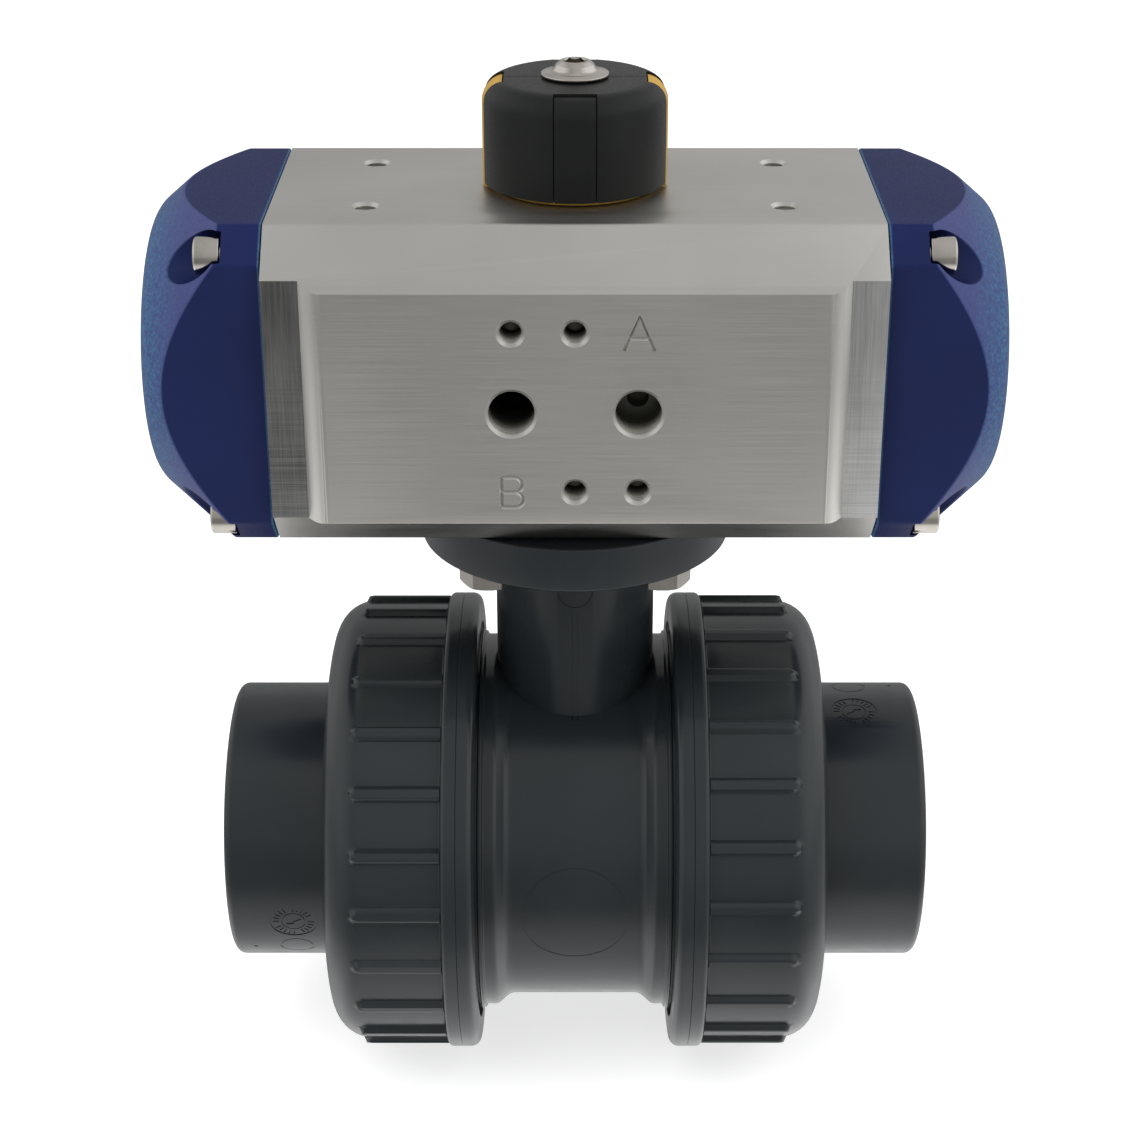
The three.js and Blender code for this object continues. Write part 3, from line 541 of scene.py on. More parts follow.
def actuator_body():
    """The extrusion with its end zones, bores, ports and holes, then the letters."""
    outline = rounded([
        (FLAT_HALF_WIDTH, HALF_HEIGHT, 1.6), (-FLAT_HALF_WIDTH, HALF_HEIGHT, 1.6),
        (PAD_Y + 1.1, 23.3, 0.35), (PAD_Y, 22, 0.35), (PAD_Y, -24.4, 0.3), (PAD_Y + 2.5, -23.5, 0.3),
        (-FLAT_HALF_WIDTH, -HALF_HEIGHT, 1.6), (FLAT_HALF_WIDTH, -HALF_HEIGHT, 1.6),
        (BACK_Y, -24, 1.6), (BACK_Y, 24, 1.6),
    ])
    body = prism("actuator_body", [(y, z + BORE_Z) for y, z in outline], -HALF_LENGTH, HALF_LENGTH)
    carve(body, end_zone_cutter(-1), end_zone_cutter(1))
    soften(body, 0.22, 2, 50)
    cutters = [
        rod("bore", "X", -HALF_LENGTH - 1, HALF_LENGTH + 1, BORE_R, (0, 0, BORE_Z), 128),
        rod("upper_bore", "Z", BORE_Z, body_high.z + 1, UPPER_BORE_R, segments=64),
        rod("lower_bore", "Z", body_low.z - 1, BORE_Z, LOWER_BORE_R, segments=64),
        threaded_hole("port_b", depth=PORT_B_DEPTH, axis="-Y",
                      centre=(-PORT_HALF_SPACING, PAD_Y, PORT_Z), **PORT_THREAD),
        threaded_hole("port_a", depth=PORT_A_DEPTH, axis="-Y",
                      centre=(PORT_HALF_SPACING, PAD_Y, PORT_Z), tip=False, **PORT_THREAD),
        rod("channel_feed", "Y", PAD_Y + 6, PAD_Y + 11.4, 2.1, (PORT_HALF_SPACING, 0, PORT_Z + 0.7), 32),
    ]
    for x, side in ((-1, 1), (0, 1), (0, -1), (1, -1)):
        at = (x * PORT_HALF_SPACING, PAD_Y, PORT_Z + side * PAD_HOLE_RISE)
        cutters.append(threaded_hole("pad_hole", depth=PAD_HOLE_DEPTH, axis="-Y", centre=at, **M5_THREAD))
    for a in (-1, 1):
        for b in (-1, 1):
            at = (TOP_HOLE_X * a, TOP_HOLE_Y * b, body_high.z)
            cutters.append(threaded_hole("top_hole", depth=TOP_HOLE_DEPTH, axis="Z", centre=at,
                                         **M5_THREAD))
            low, high = span(f"flange_bolt_{1 + (a > 0) * 2 + (b > 0)}")
            cutters.append(rod("bolt_hole", "Z", body_low.z - 1, high.z + 1.4, BOLT_HOLE_R,
                               ((low.x + high.x) / 2, (low.y + high.y) / 2, 0), 32))
    for side in ("left", "right"):
        for i in range(1, 5):
            low, high = span(f"cap_screw_{side}_{i}")
            inner = min(abs(low.x), abs(high.x)) - 2
            centre = (0, (low.y + high.y) / 2, (low.z + high.z) / 2)
            axis = "X" if side == "right" else "-X"
            cutters.append(rod("screw_hole", axis, inner, HALF_LENGTH + 1, SCREW_HOLE_R, centre, 24))
    carve(body, *cutters)
    carve(body, *letter_strokes())
    place(body, "actuator_body", ANODISED)
    # Materials with painted light: the milled copies with painted shade and painted reflection, and the
    # bored finish with painted shade in the holes
    for painted_light_material in (MILLED["left"], MILLED["right"], BORED):
        body.data.materials.append(painted_light_material)
    for face in body.data.polygons:
        centre = face.center / MM
        on_end_zone = face.normal.y < -0.99 and abs(centre.y - END_ZONE_Y) < 0.05
        under_pad = PAD_Y + 0.7 < centre.y < END_ZONE_Y + 18
        by_holes = abs(centre.x) < 18 and abs(centre.z - PORT_Z) < PAD_HOLE_RISE + 3
        # The left end zone takes the milled copy with painted shade, the right one the copy with a painted
        # reflection
        if on_end_zone and abs(centre.x) > PAD_ROUND_END:
            face.material_index = 1 if centre.x < 0 else 2
        # Faces inside the holes take the bored finish, with its painted shade deeper in
        elif under_pad and by_holes:
            face.material_index = 3


CAP_CONE_SLOPE = 1.17
CAP_CONE_MEETS_END_R = 26.45
CAP_ROUND_R = 7.5
CAP_DOME_WIDEN = 1.09
CAP_CHAMFER = {"y": 26.6, "z": 26.1}
CAP_SEAT_X = 65.9
CAP_POCKET = {"r": 4.6, "mouth_r": 6.3}
CAP_EDGE_R = 1.1
CHAMBER_R = 25.5
CHAMBER_ROUND_R = 6
CHAMBER_END_X = 79.5
CAP_SCREW_Y = 28
CAP_SCREW_Z = 26.5
CAP_SCREW_WAY_R = 2.4


def cap_dome():
    """The dome's (radius, station) points out to where its cone starts, and the cone's station at a
    radius."""
    end = span("end_cap_right")[1].x
    tilt = math.degrees(math.atan(CAP_CONE_SLOPE))
    round_r = CAP_CONE_MEETS_END_R - CAP_ROUND_R * math.tan(math.radians(tilt / 2))
    points = [(round_r * i / 6, end) for i in range(6)]
    points += reversed(arc((round_r, end - CAP_ROUND_R), CAP_ROUND_R, 90 - tilt, 90, 10))
    return points, lambda r: end - CAP_CONE_SLOPE * (r - CAP_CONE_MEETS_END_R)


def end_cap(side):
    """Rays from the axis out to an octagonal rim, each with the dome's profile, a rounded edge and the
    side wall."""
    low, high = span("end_cap_right")
    half_y, half_z = high.y, (high.z - low.z) / 2
    y, z = CAP_CHAMFER["y"], CAP_CHAMFER["z"]
    corners = [(y, half_z), (-y, half_z), (-half_y, z), (-half_y, -z),
               (-y, -half_z), (y, -half_z), (half_y, -z), (half_y, z)]
    octagon = rounded([(*corner, CAP_EDGE_R) for corner in corners])
    rim = []
    for i, here in enumerate(octagon):
        after = octagon[(i + 1) % len(octagon)]
        pieces = max(1, round((after - here).length / 1.2))
        rim += [here.lerp(after, k / pieces) for k in range(pieces)]
    dome, cone = cap_dome()
    loops = []
    for point in rim:
        reach = point.length
        stretch = Vector((point.x / CAP_DOME_WIDEN, point.y)).length / reach
        inner = [(r / stretch, x) for r, x in dome]
        start = inner[-1][0]
        radii = [start + (reach - start) * k / 8 for k in range(1, 8)]
        slant = [(r, cone(r * stretch)) for r in radii]
        edge = rounded([slant[-1], (reach, cone(reach * stretch), 0.7), (reach, low.x, 0.3),
                        (reach - 2, low.x)], closed=False, steps=4)
        ray = point / reach
        loops.append([(x, ray.x * s, ray.y * s + BORE_Z) for s, x in [*inner, *slant[:-1], *edge]])
    rows = [list(row) for row in zip(*loops)]
    rows[0] = rows[0][:1]
    rows.append([(low.x, 0, BORE_Z)])
    cap = rings("end_cap_" + side, rows)
    corner = (CHAMBER_R - CHAMBER_ROUND_R, CHAMBER_END_X - CHAMBER_ROUND_R)
    chamber = [(0, low.x - 1), (CHAMBER_R, low.x - 1), *arc(corner, CHAMBER_ROUND_R, 0, 90),
               (0, CHAMBER_END_X)]
    cutters = [turned("chamber", chamber, centre=(0, 0, BORE_Z))]
    for a in (-1, 1):
        for b in (-1, 1):
            at = (0, CAP_SCREW_Y * a, BORE_Z + CAP_SCREW_Z * b)
            cutters.append(rod("clearance", "X", low.x - 1, CAP_SEAT_X + 1, CAP_SCREW_WAY_R, at, 32))
            cutters.append(turned("pocket", [
                (0, CAP_SEAT_X), (CAP_POCKET["r"], CAP_SEAT_X), (CAP_POCKET["mouth_r"], high.x), (0, high.x),
            ], centre=at, segments=64))
    carve(cap, *cutters)
    place(cap, "end_cap_" + side, BLUE, 35, 0 if side == "right" else math.pi)


def cap_screw(side, index):
    low, high = span(f"cap_screw_{side}_{index}")
    near, far = sorted((abs(low.x), abs(high.x)))
    axis = "X" if side == "right" else "-X"
    at = (0, (low.y + high.y) / 2, (low.z + high.z) / 2)
    head_r = (high.z - low.z) / 2
    seat = CAP_SEAT_X + GAP
    profile = rounded([(0, near), (2, near), (2, seat), (head_r, seat, 0.25), (head_r, far, 0.55), (0, far)],
                      closed=False)
    screw = turned(f"cap_screw_{side}_{index}", profile, axis, at, 64)
    socket = prism("socket", [(at[1] + u, at[2] + v) for u, v in hexagon(3)], far - 2.2, far + 1)
    sink = turned("sink", [(0, far + 0.5), (2.4, far + 0.5), (1.4, far - 0.5), (0, far - 0.5)],
                  axis, at, 48)
    if side == "left":
        socket.data.transform(Matrix.Scale(-1, 4, (1, 0, 0)))
        socket.data.flip_normals()
    carve(screw, socket, sink)
    place(screw, f"cap_screw_{side}_{index}", STEEL)


# ---------------------------------------------------------------- position indicator

knob_low, knob_high = span("indicator_knob")
base_low = span("indicator_base")[0]
KNOB_R = knob_high.x
KNOB_ROUND = 4
SLOT_HALF_WIDTH = 4.15
SLOT_INNER_R = 13.8
STRIP_HALF_WIDTH = 3.95
STRIP_DROP = 0.5         # the strips' top below the knob's
KNOB_HOLLOW = {"top": 150.4, "r": 12.9}
KNOB_SQUARE = {"half": 5.8, "low": 149, "high": 161.6}
KNOB_SCREW_WAY_R = 3.3
KNOB_LINE_HALF = 0.12
RING_INNER_R = 13.4
RING_OUTER_R = 16
RING_HEIGHT = 0.6


def knob_blank(name, top, bottom):
    profile = rounded([(0, bottom), (KNOB_R, bottom, 0.3), (KNOB_R, top, KNOB_ROUND), (0, top)],
                      closed=False, steps=10)
    return turned(name, profile, "Z", segments=160)


def slot_blocks():
    low, high, half = knob_low.z - 1, knob_high.z + 1, SLOT_HALF_WIDTH
    shapes = []
    for side in (-1, 1):
        near, far = sorted((side * SLOT_INNER_R, side * (KNOB_R + 1)))
        shapes.append(block("slot_x", (near, -half, low), (far, half, high)))
        shapes.append(block("slot_y", (-half, near, low), (half, far, high)))
    return shapes


def indicator_knob():
    """A rounded knob with four slots, a square socket for the pinion, and a line across its top."""
    knob = knob_blank("indicator_knob", knob_high.z, knob_low.z)
    half, low, high = KNOB_SQUARE["half"], KNOB_SQUARE["low"], KNOB_SQUARE["high"]
    carve(knob,
          rod("hollow", "Z", knob_low.z - 1, KNOB_HOLLOW["top"], KNOB_HOLLOW["r"], segments=64),
          block("square", (-half, -half, low), (half, half, high)),
          rod("screw_way", "Z", high - 0.6, knob_high.z + 1, KNOB_SCREW_WAY_R),
          *slot_blocks())
    carve(knob, block("line", (-SLOT_INNER_R, -KNOB_LINE_HALF, knob_high.z - 0.12),
                      (SLOT_INNER_R, KNOB_LINE_HALF, knob_high.z + 1)))
    place(knob, "indicator_knob", BLACK)


def strip(name, angle, bottom):
    """A strip that fills the knob's slot, cut from a knob a little lower."""
    body = knob_blank(name, knob_high.z - STRIP_DROP, bottom)
    tool = block("strip_tool", (SLOT_INNER_R + GAP, -STRIP_HALF_WIDTH, bottom - 1),
                 (KNOB_R + 1, STRIP_HALF_WIDTH, knob_high.z))
    combine(body, [tool], "INTERSECT")
    body.data.transform(Matrix.Rotation(angle, 4, "Z"))
    return body


def indicator_strips():
    for node, angle in (("indicator_insert_front", -math.pi / 2), ("indicator_insert_rear", math.pi / 2)):
        place(strip(node, angle, knob_low.z), node, BLACK)
    top = base_low.z + RING_HEIGHT
    ring = turned("indicator_base", rounded([
        (RING_INNER_R, base_low.z), (RING_OUTER_R, base_low.z, 0.15), (RING_OUTER_R, top, 0.15),
        (RING_INNER_R, top),
    ]), "Z", segments=128)
    join(ring, strip("strip", 0, base_low.z + 0.2), strip("strip", math.pi, base_low.z + 0.2))
    place(ring, "indicator_base", YELLOW)


def indicator_screw():
    low, high = span("indicator_screw")
    seat = knob_high.z + GAP
    profile = rounded([
        (0, low.z), (3, low.z, 0.5), (3, seat), (6.6, seat, 0.2), (6.6, seat + 0.5, 0.2),
        (4.3, seat + 0.95, 1.1), (3.75, high.z - 0.75, 0.5), (2.9, high.z, 0.4), (0, high.z),
    ], closed=False)
    screw = turned("indicator_screw", profile, "Z", segments=96)
    socket = prism("socket", hexagon(4), seat + 1, high.z + 1, "Z")
    sink = turned("sink", [(0, high.z - 0.3), (2.0, high.z - 0.3), (2.4, high.z + 0.1),
                           (0, high.z + 0.1)], "Z")
    carve(screw, socket, sink)
    place(screw, "indicator_screw", STEEL)


# ---------------------------------------------------------------- valve

FLANGE_R = 31.8
FLANGE_BOTTOM = 70.6
FLANGE_TOP = body_low.z - GAP
NECK_R = 16.6
BALL_R = 28
FLOW_R = 19
BARREL_R = 38.3
SPIGOT_R = 42.8
SPIGOT_END = 40.6
THREAD_PITCH = 4.0
THREAD_DEPTH = 1.4
FACE_SEAL = {"inner_r": 33.5, "outer_r": 37.0, "depth": 2.5}
BOLT_R = 3
BALL_CHAMBER = {"r": 28.6, "half": 24 + GAP}
CARRIER_BORE_R = 30.5
CARRIER_R = 30.2
CARRIER_KEY_Y = 24.5
STEM_WAY = [(0, 20), (12.4, 20), (12.4, 31.6), (9.35, 31.6), (9.35, 56.6), (13.3, 56.6), (13.3, 81), (0, 81)]
STEM_SLOT = {"half_width": 3.4, "half_length": 13, "floor": 21.6}


def flange_bolt(index):
    low, high = span(f"flange_bolt_{index}")
    at_x, at_y = (low.x + high.x) / 2, (low.y + high.y) / 2
    seat = FLANGE_BOTTOM - GAP
    head = prism(f"flange_bolt_{index}", hexagon(10), low.z, seat, "Z")
    chamfer = turned("chamfer", [(0, low.z), (5.1, low.z), (5.9, low.z + 0.35), (5.9, seat), (0, seat)], "Z")
    combine(head, [chamfer], "INTERSECT")
    shank = rod("shank", "Z", seat - 1, high.z, BOLT_R, segments=32)
    join(head, shank)
    head.data.transform(Matrix.Translation((at_x, at_y, 0)))
    place(head, f"flange_bolt_{index}", STEEL)


def barrel_profile():
    """Half of the valve body's outside, from the middle out: barrel, shoulder, threaded spigot and end
    face."""
    points = [(BARREL_R, 8), (BARREL_R, 14.0, 3), (40.7, 16.7, 1.8), (40.7, 19.0, 0.3), (41.4, 19.3, 0.15),
              (41.4, 19.7), (41.9, 19.95), (41.4, 20.2)]
    station = 21.0
    root_r = SPIGOT_R - THREAD_DEPTH
    while station + THREAD_PITCH < SPIGOT_END - 1:
        points += [(root_r, station, 0.3), (SPIGOT_R, station + 1.1, 0.3),
                   (SPIGOT_R, station + 1.9, 0.3), (root_r, station + 3.0, 0.3)]
        station += THREAD_PITCH
    seal_floor = SPIGOT_END - FACE_SEAL["depth"]
    points += [(root_r, SPIGOT_END, 0.4), (FACE_SEAL["outer_r"], SPIGOT_END),
               (FACE_SEAL["outer_r"], seal_floor), (FACE_SEAL["inner_r"], seal_floor),
               (FACE_SEAL["inner_r"], SPIGOT_END)]
    return rounded([*points, (FLOW_R, SPIGOT_END)], closed=False, steps=4)


def valve_body():
    """Barrel and necked flange, with its bores, and the faint rings and lines that the mould leaves."""
    half = barrel_profile()[:-1]
    profile = [(0, -SPIGOT_END), *[(r, -x) for r, x in reversed(half)], *half, (0, SPIGOT_END)]
    body = turned("valve_body", profile, segments=192)
    neck = turned("neck", rounded([
        (0, 30), (NECK_R, 30), (NECK_R, FLANGE_BOTTOM, 0.6), (FLANGE_R, FLANGE_BOTTOM, 0.5),
        (FLANGE_R, FLANGE_TOP, 0.4), (0, FLANGE_TOP),
    ], closed=False), "Z", segments=160)
    join(body, neck)
    way = BALL_CHAMBER["half"]
    cutters = [
        rod("chamber", "X", -way, way + 1, BALL_CHAMBER["r"], segments=96),
        rod("carrier_bore", "X", way, SPIGOT_END + 1, CARRIER_BORE_R, segments=96),
        rod("flow", "X", -SPIGOT_END - 1, 0, FLOW_R, segments=96),
        turned("stem_way", STEM_WAY, "Z", segments=64),
        skin_deep(turned("neck_mark", [(3.4, 0), (3.65, 0), (3.65, 9), (3.4, 9)], "-Y",
                         (0, -10, 63.4), 64), "Z", NECK_R, 0.15),
        skin_deep(turned("gate_mark", [(10.9, 0), (11.1, 0), (11.1, 12), (10.9, 12)], "-Y",
                         (0, -30, -1), 96), "X", BARREL_R, 0.08),
    ]
    for x in (-0.55, 0.55):
        line = block("parting", (x - 0.1, -18, 34), (x + 0.1, -14, 59))
        cutters.append(skin_deep(line, "Z", NECK_R, 0.14))
    for i in range(1, 5):
        low, high = span(f"flange_bolt_{i}")
        cutters.append(rod("bolt_hole", "Z", FLANGE_BOTTOM - 1, FLANGE_TOP + 1, BOLT_HOLE_R,
                           ((low.x + high.x) / 2, (low.y + high.y) / 2, 0), 32))
    carve(body, *cutters)
    place(body, "valve_body", PVC)


def valve_ball():
    half_chord = math.sqrt(BALL_R ** 2 - FLOW_R ** 2)
    edge = math.degrees(math.atan2(FLOW_R + 0.5, half_chord - 0.35))
    sphere = arc((0, 0), BALL_R, 90 - edge, edge - 90, 32)
    profile = [(FLOW_R, half_chord - 1), *sphere, (FLOW_R, 1 - half_chord)]
    ball = turned("valve_ball", profile, segments=128)
    half_width, half_length, floor_z = STEM_SLOT.values()
    carve(ball, block("slot", (-half_width, -half_length, floor_z), (half_width, half_length, BALL_R + 1)))
    place(ball, "valve_ball", PVC)


def seat_carrier():
    low, high = span("seat_carrier")
    ring = turned("seat_carrier", rounded([
        (FLOW_R, low.x, 0.4), (CARRIER_R, low.x, 0.5), (CARRIER_R, high.x, 0.5), (FLOW_R, high.x, 0.8),
    ]), segments=128)
    keys = [block("key", (high.x - 3, y - 2.5, -3), (high.x + 1, y + 2.5, 3))
            for y in (-CARRIER_KEY_Y, CARRIER_KEY_Y)]
    carve(ring, *keys)
    place(ring, "seat_carrier", PVC)


def ball_seat(side):
    end = span("ball_seat_right")[1].x
    inner, lip, outer = FLOW_R + 0.8, 24, 28.2
    radii = [inner + (lip - inner) * i / 6 for i in range(7)]
    touch = [(r, math.sqrt((BALL_R + 0.5) ** 2 - r * r)) for r in radii]
    seat = turned("ball_seat_" + side, [*touch, (outer, touch[-1][1]), (outer, end), (inner, end)],
                  segments=96)
    place(seat, "ball_seat_" + side, FLUORO, turn=0 if side == "right" else math.pi)


def end_seal(side):
    low, high = span("end_seal_right")
    inner, outer = FACE_SEAL["inner_r"] + GAP, FACE_SEAL["outer_r"] - GAP
    profile = rounded([(inner, low.x, 0.5), (outer, low.x, 0.5), (outer, high.x, 0.9), (inner, high.x, 0.9)])
    place(turned("end_seal_" + side, profile, segments=96), "end_seal_" + side, RUBBER,
          turn=0 if side == "right" else math.pi)


# ---------------------------------------------------------------- unions

nut_low, nut_high = span("union_nut_right")
NUT_RING_R = 49.8
NUT_RING_END = 27.4
MOULD_LINE_X = 24.2
NUT_R = 48.0
NUT_THREAD_R = 43.5
NUT_LIP_X = 46.3         # inner face of the lip that holds the pipe end
NUT_LIP_R = 30.2
NUT_SHOULDER_R = 8
RIB_END = 45.5
RIBS = 24
RIB_HEIGHT = 1.2
RIB_HALF_WIDTH = 1.25
RIB_FLANK = 0.6
RIB_FLANK_OUT = 0.35     # how much of the flank lies outside the half width
RIB_PHASE = math.radians(6.4)
NUT_SEGMENTS = 720
NUT_STEP = 0.8
END_R = 29.8
PIPE_R = 25
MARKS_X = 59.9
END_MARKS = {            # dial, ejector ring and dot, in degrees round the pipe from its top
    "right": (9.7, -13.5, -15),
    "left": (-107.2, -126.5, -127.5),
}
MARK_SPAN = (END_R - 2, END_R + 2)
DIAL_R = 4.95
DIAL_TICKS = 24
DIAL_TURN = 0.5
END_FLANGE_R = 42
END_FLANGE_X = 46
SOCKET_FLOOR_X = 42.8


def nut_profile():
    """The nut's outside, with a mould line round its ring, then its lip's bore, lip and thread."""
    return rounded([
        (NUT_THREAD_R, nut_low.x), (NUT_RING_R, nut_low.x, 2.0), (NUT_RING_R, MOULD_LINE_X - 0.14),
        (NUT_RING_R - 0.13, MOULD_LINE_X), (NUT_RING_R, MOULD_LINE_X + 0.14),
        (NUT_RING_R, NUT_RING_END, 1.2), (NUT_R, NUT_RING_END, 0.3),
        (NUT_R, nut_high.x, NUT_SHOULDER_R), (NUT_LIP_R, nut_high.x, 0.5),
        (NUT_LIP_R, NUT_LIP_X), (NUT_THREAD_R, NUT_LIP_X),
    ], closed=False, steps=10)


def rib_lift(angle, x):
    """How far the nearest rib stands up here: all of it on top, less on its flanks and rounded end."""
    ribs_on = (angle - RIB_PHASE) * RIBS / math.tau
    across = abs(ribs_on - round(ribs_on)) * math.tau / RIBS * NUT_R
    beyond = max(0, x - (RIB_END - RIB_HALF_WIDTH))
    inside = RIB_HALF_WIDTH + RIB_FLANK_OUT - math.hypot(across, beyond)
    return RIB_HEIGHT * min(1, max(0, inside / RIB_FLANK))


def union_nut(side):
    """A turned nut whose grip is raised into ribs."""
    outline = nut_profile()
    profile = []
    for (r0, x0), (r1, x1) in zip(outline, outline[1:]):
        pieces = max(1, math.ceil(abs(x1 - x0) / NUT_STEP)) if min(r0, r1) > 45 else 1
        profile += [(r0 + (r1 - r0) * k / pieces, x0 + (x1 - x0) * k / pieces) for k in range(pieces)]
    profile.append(outline[-1])
    loops = []
    for r, x in profile:
        on_grip = r > 44 and x > NUT_RING_END
        loop = []
        for i in range(NUT_SEGMENTS):
            angle = math.tau * i / NUT_SEGMENTS
            lift = rib_lift(angle, x) if on_grip else 0
            tall = min(r + lift, NUT_R + RIB_HEIGHT) if lift else r
            loop.append((x, tall * math.cos(angle), tall * math.sin(angle)))
        loops.append(loop)
    nut = rings("union_nut_" + side, loops)
    place(nut, "union_nut_" + side, PVC, 40, 0 if side == "right" else math.pi)


def wrapped(cutter, turn, depth):
    """Turns a mark made over the top of a pipe end to its place round the pipe, one skin deep."""
    cutter.data.transform(Matrix.Rotation(math.radians(turn), 4, "X"))
    return skin_deep(cutter, "X", END_R, depth)


def mark_ring(inner, outer):
    low, high = MARK_SPAN
    return turned("ring", [(inner, low), (outer, low), (outer, high), (inner, high)], "Z",
                  (MARKS_X, 0, 0), 96)


def mould_dial(turn):
    """A sunk disc, and the ticks, ring and pointer engraved in it, as moulders use to mark a batch."""
    disc = rod("dial", "Z", *MARK_SPAN, DIAL_R, (MARKS_X, 0, 0), 96)
    arrow = [(-1.9, -0.25), (0.3, -0.25), (0.3, -0.8), (1.9, 0), (0.3, 0.8), (0.3, 0.25), (-1.9, 0.25)]
    engraved = [prism("pointer", arrow, *MARK_SPAN, "Z")]
    for i in range(DIAL_TICKS):
        if i % 6 != 5:
            tick = block("tick", (3.1, -0.15, MARK_SPAN[0]), (4.4, 0.15, MARK_SPAN[1]))
            tick.data.transform(Matrix.Rotation(math.tau * i / DIAL_TICKS, 4, "Z"))
            engraved.append(tick)
    marks = gather(*engraved)
    marks.data.transform(Matrix.Translation((MARKS_X, 0, 0)) @ Matrix.Rotation(DIAL_TURN, 4, "Z"))
    return wrapped(disc, turn, 0.14), wrapped(gather(marks, mark_ring(2.4, 2.6)), turn, 0.3)


def ejector_mark(turn):
    return wrapped(mark_ring(3.4, 3.65), turn, 0.1)


def dot_mark(turn):
    return wrapped(rod("dot", "Z", *MARK_SPAN, 0.4, (MARKS_X + 9, 0, 0), 24), turn, 0.3)


def union_end(side):
    """A flanged end with a slightly tapered socket for the pipe."""
    low, high = span("union_end_right")
    profile = rounded([
        (FLOW_R, low.x, 0.4), (END_FLANGE_R, low.x, 0.4), (END_FLANGE_R, END_FLANGE_X, 0.6),
        (END_R, END_FLANGE_X, 0.8), (END_R, high.x, 1.7), (PIPE_R + 0.9, high.x, 0.5),
        (PIPE_R, high.x - 2.2, 0.8), (PIPE_R - 0.25, SOCKET_FLOOR_X), (FLOW_R, SOCKET_FLOOR_X, 0.6),
    ])
    end = turned("union_end_" + side, profile, segments=160)
    dial, ejector, dot = END_MARKS[side]
    sunk, engraved = mould_dial(dial)
    carve(end, sunk)
    carve(end, engraved, ejector_mark(ejector), dot_mark(dot))
    place(end, "union_end_" + side, PVC, turn=0 if side == "right" else math.pi)


# ---------------------------------------------------------------- build

ANODISED = anodised()
BORED = bored()
# One milled finish in two copies: the left end zone's is painted darker, a painted shade, and the right end
# zone's lighter, a painted reflection
MILLED = {"left": milled("milled_left_painted_shade", (0.13, 0.13, 0.128), (0.27, 0.27, 0.265)),
          "right": milled("milled_right_painted_reflection", (0.42, 0.42, 0.41), (0.60, 0.60, 0.585))}
BLUE = blue_shell()
PVC = grey_pvc()
BLACK = moulded("black_plastic", (0.0058, 0.0061, 0.0063), (0.0080, 0.0083, 0.0086), 0.38)
YELLOW = moulded("yellow_plastic", (0.46, 0.27, 0.042), (0.54, 0.32, 0.055), 0.45)
STEEL = metal("stainless_turned", (0.52, 0.49, 0.445), (0.62, 0.585, 0.535), 0.14)
CAST = metal("cast_alloy", (0.42, 0.42, 0.41), (0.55, 0.55, 0.54), 0.5, grain=0.5)
RUBBER = moulded("nitrile", (0.010, 0.010, 0.010), (0.016, 0.016, 0.016), 0.6)
ACETAL = moulded("bearing_plastic", (0.62, 0.58, 0.46), (0.72, 0.68, 0.56), 0.4)
FLUORO = moulded("ptfe", (0.78, 0.78, 0.74), (0.86, 0.86, 0.82), 0.35)

actuator_body()
for side in ("left", "right"):
    end_cap(side)
    for index in range(1, 5):
        cap_screw(side, index)
    ball_seat(side)
    end_seal(side)
    union_nut(side)
    union_end(side)
    carry("cap_gasket_" + side, RUBBER)
    carry("piston_" + side, CAST)
    carry("piston_seal_" + side, RUBBER)
    carry("piston_band_" + side, ACETAL)
indicator_knob()
indicator_strips()
indicator_screw()
for index in range(1, 5):
    flange_bolt(index)
valve_body()
valve_ball()
seat_carrier()
carry("pinion_shaft", STEEL)
carry("retaining_ring", STEEL)
carry("stem_coupling", STEEL)
carry("valve_stem", PVC)
for level in ("lower", "upper"):
    carry("pinion_bush_" + level, ACETAL)
    carry("pinion_seal_" + level, RUBBER)
    carry("stem_seal_" + level, RUBBER)
carry("thrust_washer", ACETAL)


# ---------------------------------------------------------------- stage, light and camera, in metres

FLOOR_SIZE = 6.0
FLOOR_GLOW = 0.7
SENSOR_WIDTH = 36        # millimetres, as the lens
LENS = 77.3
LENS_SHIFT_X = -0.0125
CAMERA_AT = (0, -0.460, 0.2776)
CAMERA_DOWN = 25.05      # degrees
AIM = (0, 0, 0.05)


def floor():
    bottom = nut_low.z * MM
    corners = [(-1, -1), (1, -1), (1, 1), (-1, 1)]
    mesh = bpy.data.meshes.new("floor")
    mesh.from_pydata([(x * FLOOR_SIZE, y * FLOOR_SIZE, bottom) for x, y in corners], [], [(0, 1, 2, 3)])
    obj = bpy.data.objects.new("floor", mesh)
    bpy.context.scene.collection.objects.link(obj)
    paint = Paint("floor_white", Roughness=0.9)
    cloud = paint.noise(400, 2)
    paint.feed("Base Color", paint.ramp(cloud, (0.3, (0.58, 0.58, 0.58)), (0.7, (0.61, 0.61, 0.61))))
    paint.shader.inputs["Emission Color"].default_value = (1, 1, 1, 1)
    paint.shader.inputs["Emission Strength"].default_value = FLOOR_GLOW
    obj.data.materials.append(paint.material)
    obj.visible_glossy = False


def area_light(name, at, size, power):
    data = bpy.data.lights.new(name, "AREA")
    data.shape = "SQUARE"
    data.size = size
    data.energy = power
    obj = bpy.data.objects.new(name, data)
    obj.location = at
    direction = Vector(AIM) - Vector(at)
    obj.rotation_euler = direction.to_track_quat("-Z", "Y").to_euler()
    obj.visible_glossy = False
    bpy.context.scene.collection.objects.link(obj)


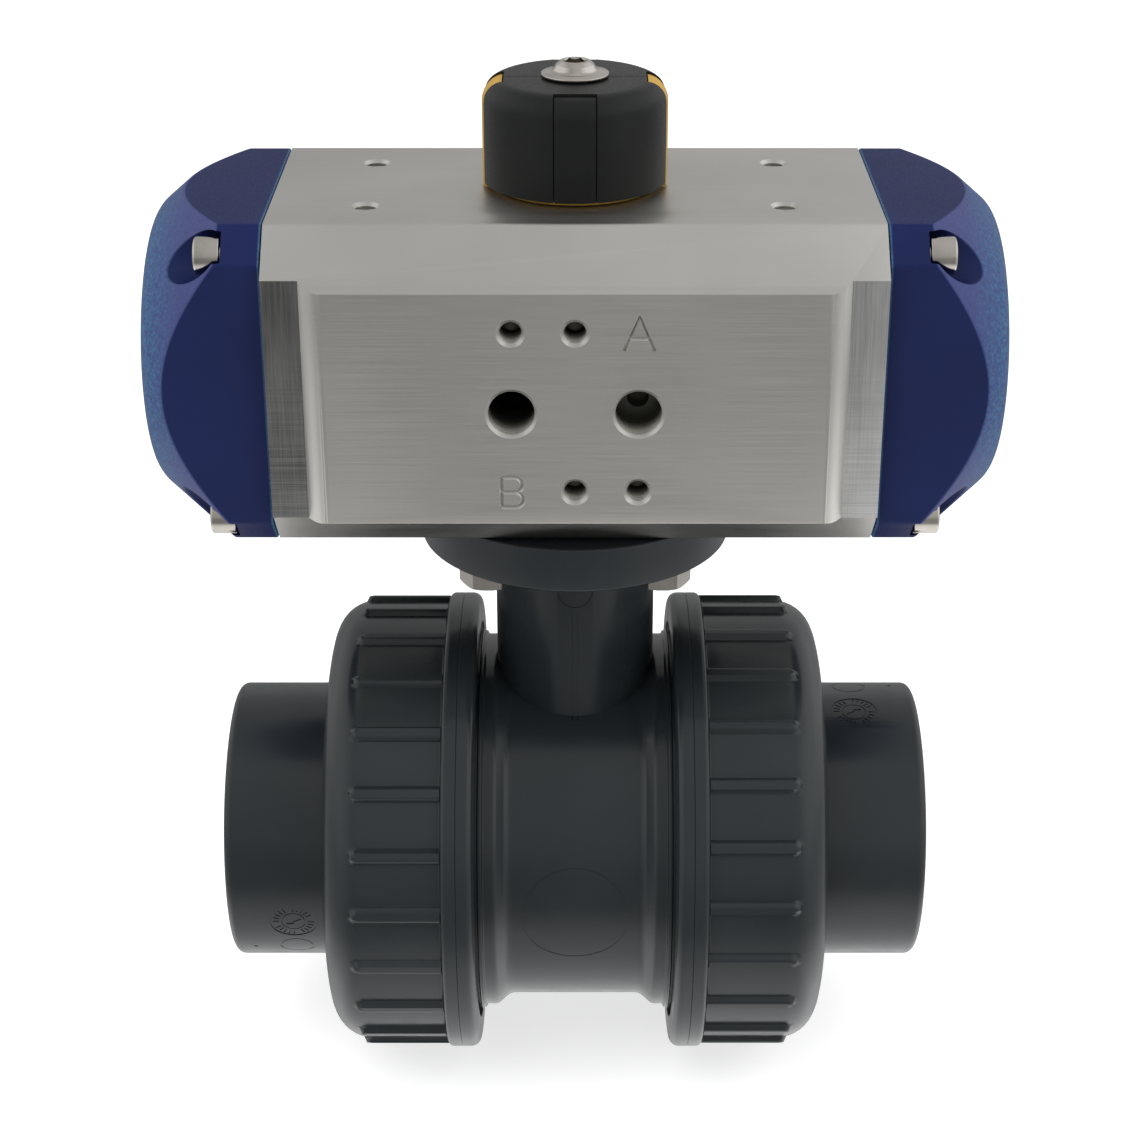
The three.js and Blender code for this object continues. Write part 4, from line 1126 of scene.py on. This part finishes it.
def studio():
    """A pale dome: bright low down, dark at the height of the object, with a soft panel at each side."""
    world = bpy.data.worlds.new("studio")
    bpy.context.scene.world = world
    world.use_nodes = True
    tree = world.node_tree
    coordinates = tree.nodes.new("ShaderNodeTexCoord")
    parts = tree.nodes.new("ShaderNodeSeparateXYZ")
    heights = tree.nodes.new("ShaderNodeMapRange")
    heights.inputs["From Min"].default_value = -1
    ramp = tree.nodes.new("ShaderNodeValToRGB")
    stops = ((0.0, 1.1), (0.11, 0.95), (0.25, 0.27), (0.45, 0.29), (0.6, 0.48), (1.0, 0.58))
    while len(ramp.color_ramp.elements) < len(stops):
        ramp.color_ramp.elements.new(0.5)
    for element, (position, level) in zip(ramp.color_ramp.elements, stops):
        element.position = position
        element.color = (level, level, level, 1)
    tree.links.new(coordinates.outputs["Generated"], parts.inputs["Vector"])
    tree.links.new(parts.outputs["Z"], heights.inputs["Value"])
    tree.links.new(heights.outputs["Result"], ramp.inputs["Fac"])
    tree.links.new(ramp.outputs["Color"], tree.nodes["Background"].inputs["Color"])
    sides = 0.92
    for start, full, gain in ((0.4, 0.8, 1.1), (-0.4, -0.8, 1.0), (-0.25, 0.25, 0.2)):
        panel = tree.nodes.new("ShaderNodeMapRange")
        panel.inputs["From Min"].default_value = start
        panel.inputs["From Max"].default_value = full
        panel.inputs["To Max"].default_value = gain
        tree.links.new(parts.outputs["X"], panel.inputs["Value"])
        total = tree.nodes.new("ShaderNodeMath")
        tree.links.new(panel.outputs["Result"], total.inputs[0])
        if isinstance(sides, float):
            total.inputs[1].default_value = sides
        else:
            tree.links.new(sides, total.inputs[1])
        sides = total.outputs[0]
    tree.links.new(sides, tree.nodes["Background"].inputs["Strength"])
    area_light("key", (-0.5, -0.5, 1.2), 1.0, 9)
    area_light("fill", (0.8, -0.3, 0.9), 0.8, 4)


def camera():
    """The photograph's viewpoint: in front of the ports and above them, looking down."""
    data = bpy.data.cameras.new("camera")
    data.sensor_width = SENSOR_WIDTH
    data.lens = LENS
    data.shift_x = LENS_SHIFT_X
    data.clip_start = 0.01
    obj = bpy.data.objects.new("camera", data)
    obj.location = CAMERA_AT
    obj.rotation_euler = (math.radians(90 - CAMERA_DOWN), 0, 0)
    bpy.context.scene.collection.objects.link(obj)
    bpy.context.scene.camera = obj


floor()
studio()
camera()
bpy.context.scene.view_settings.view_transform = "Standard"
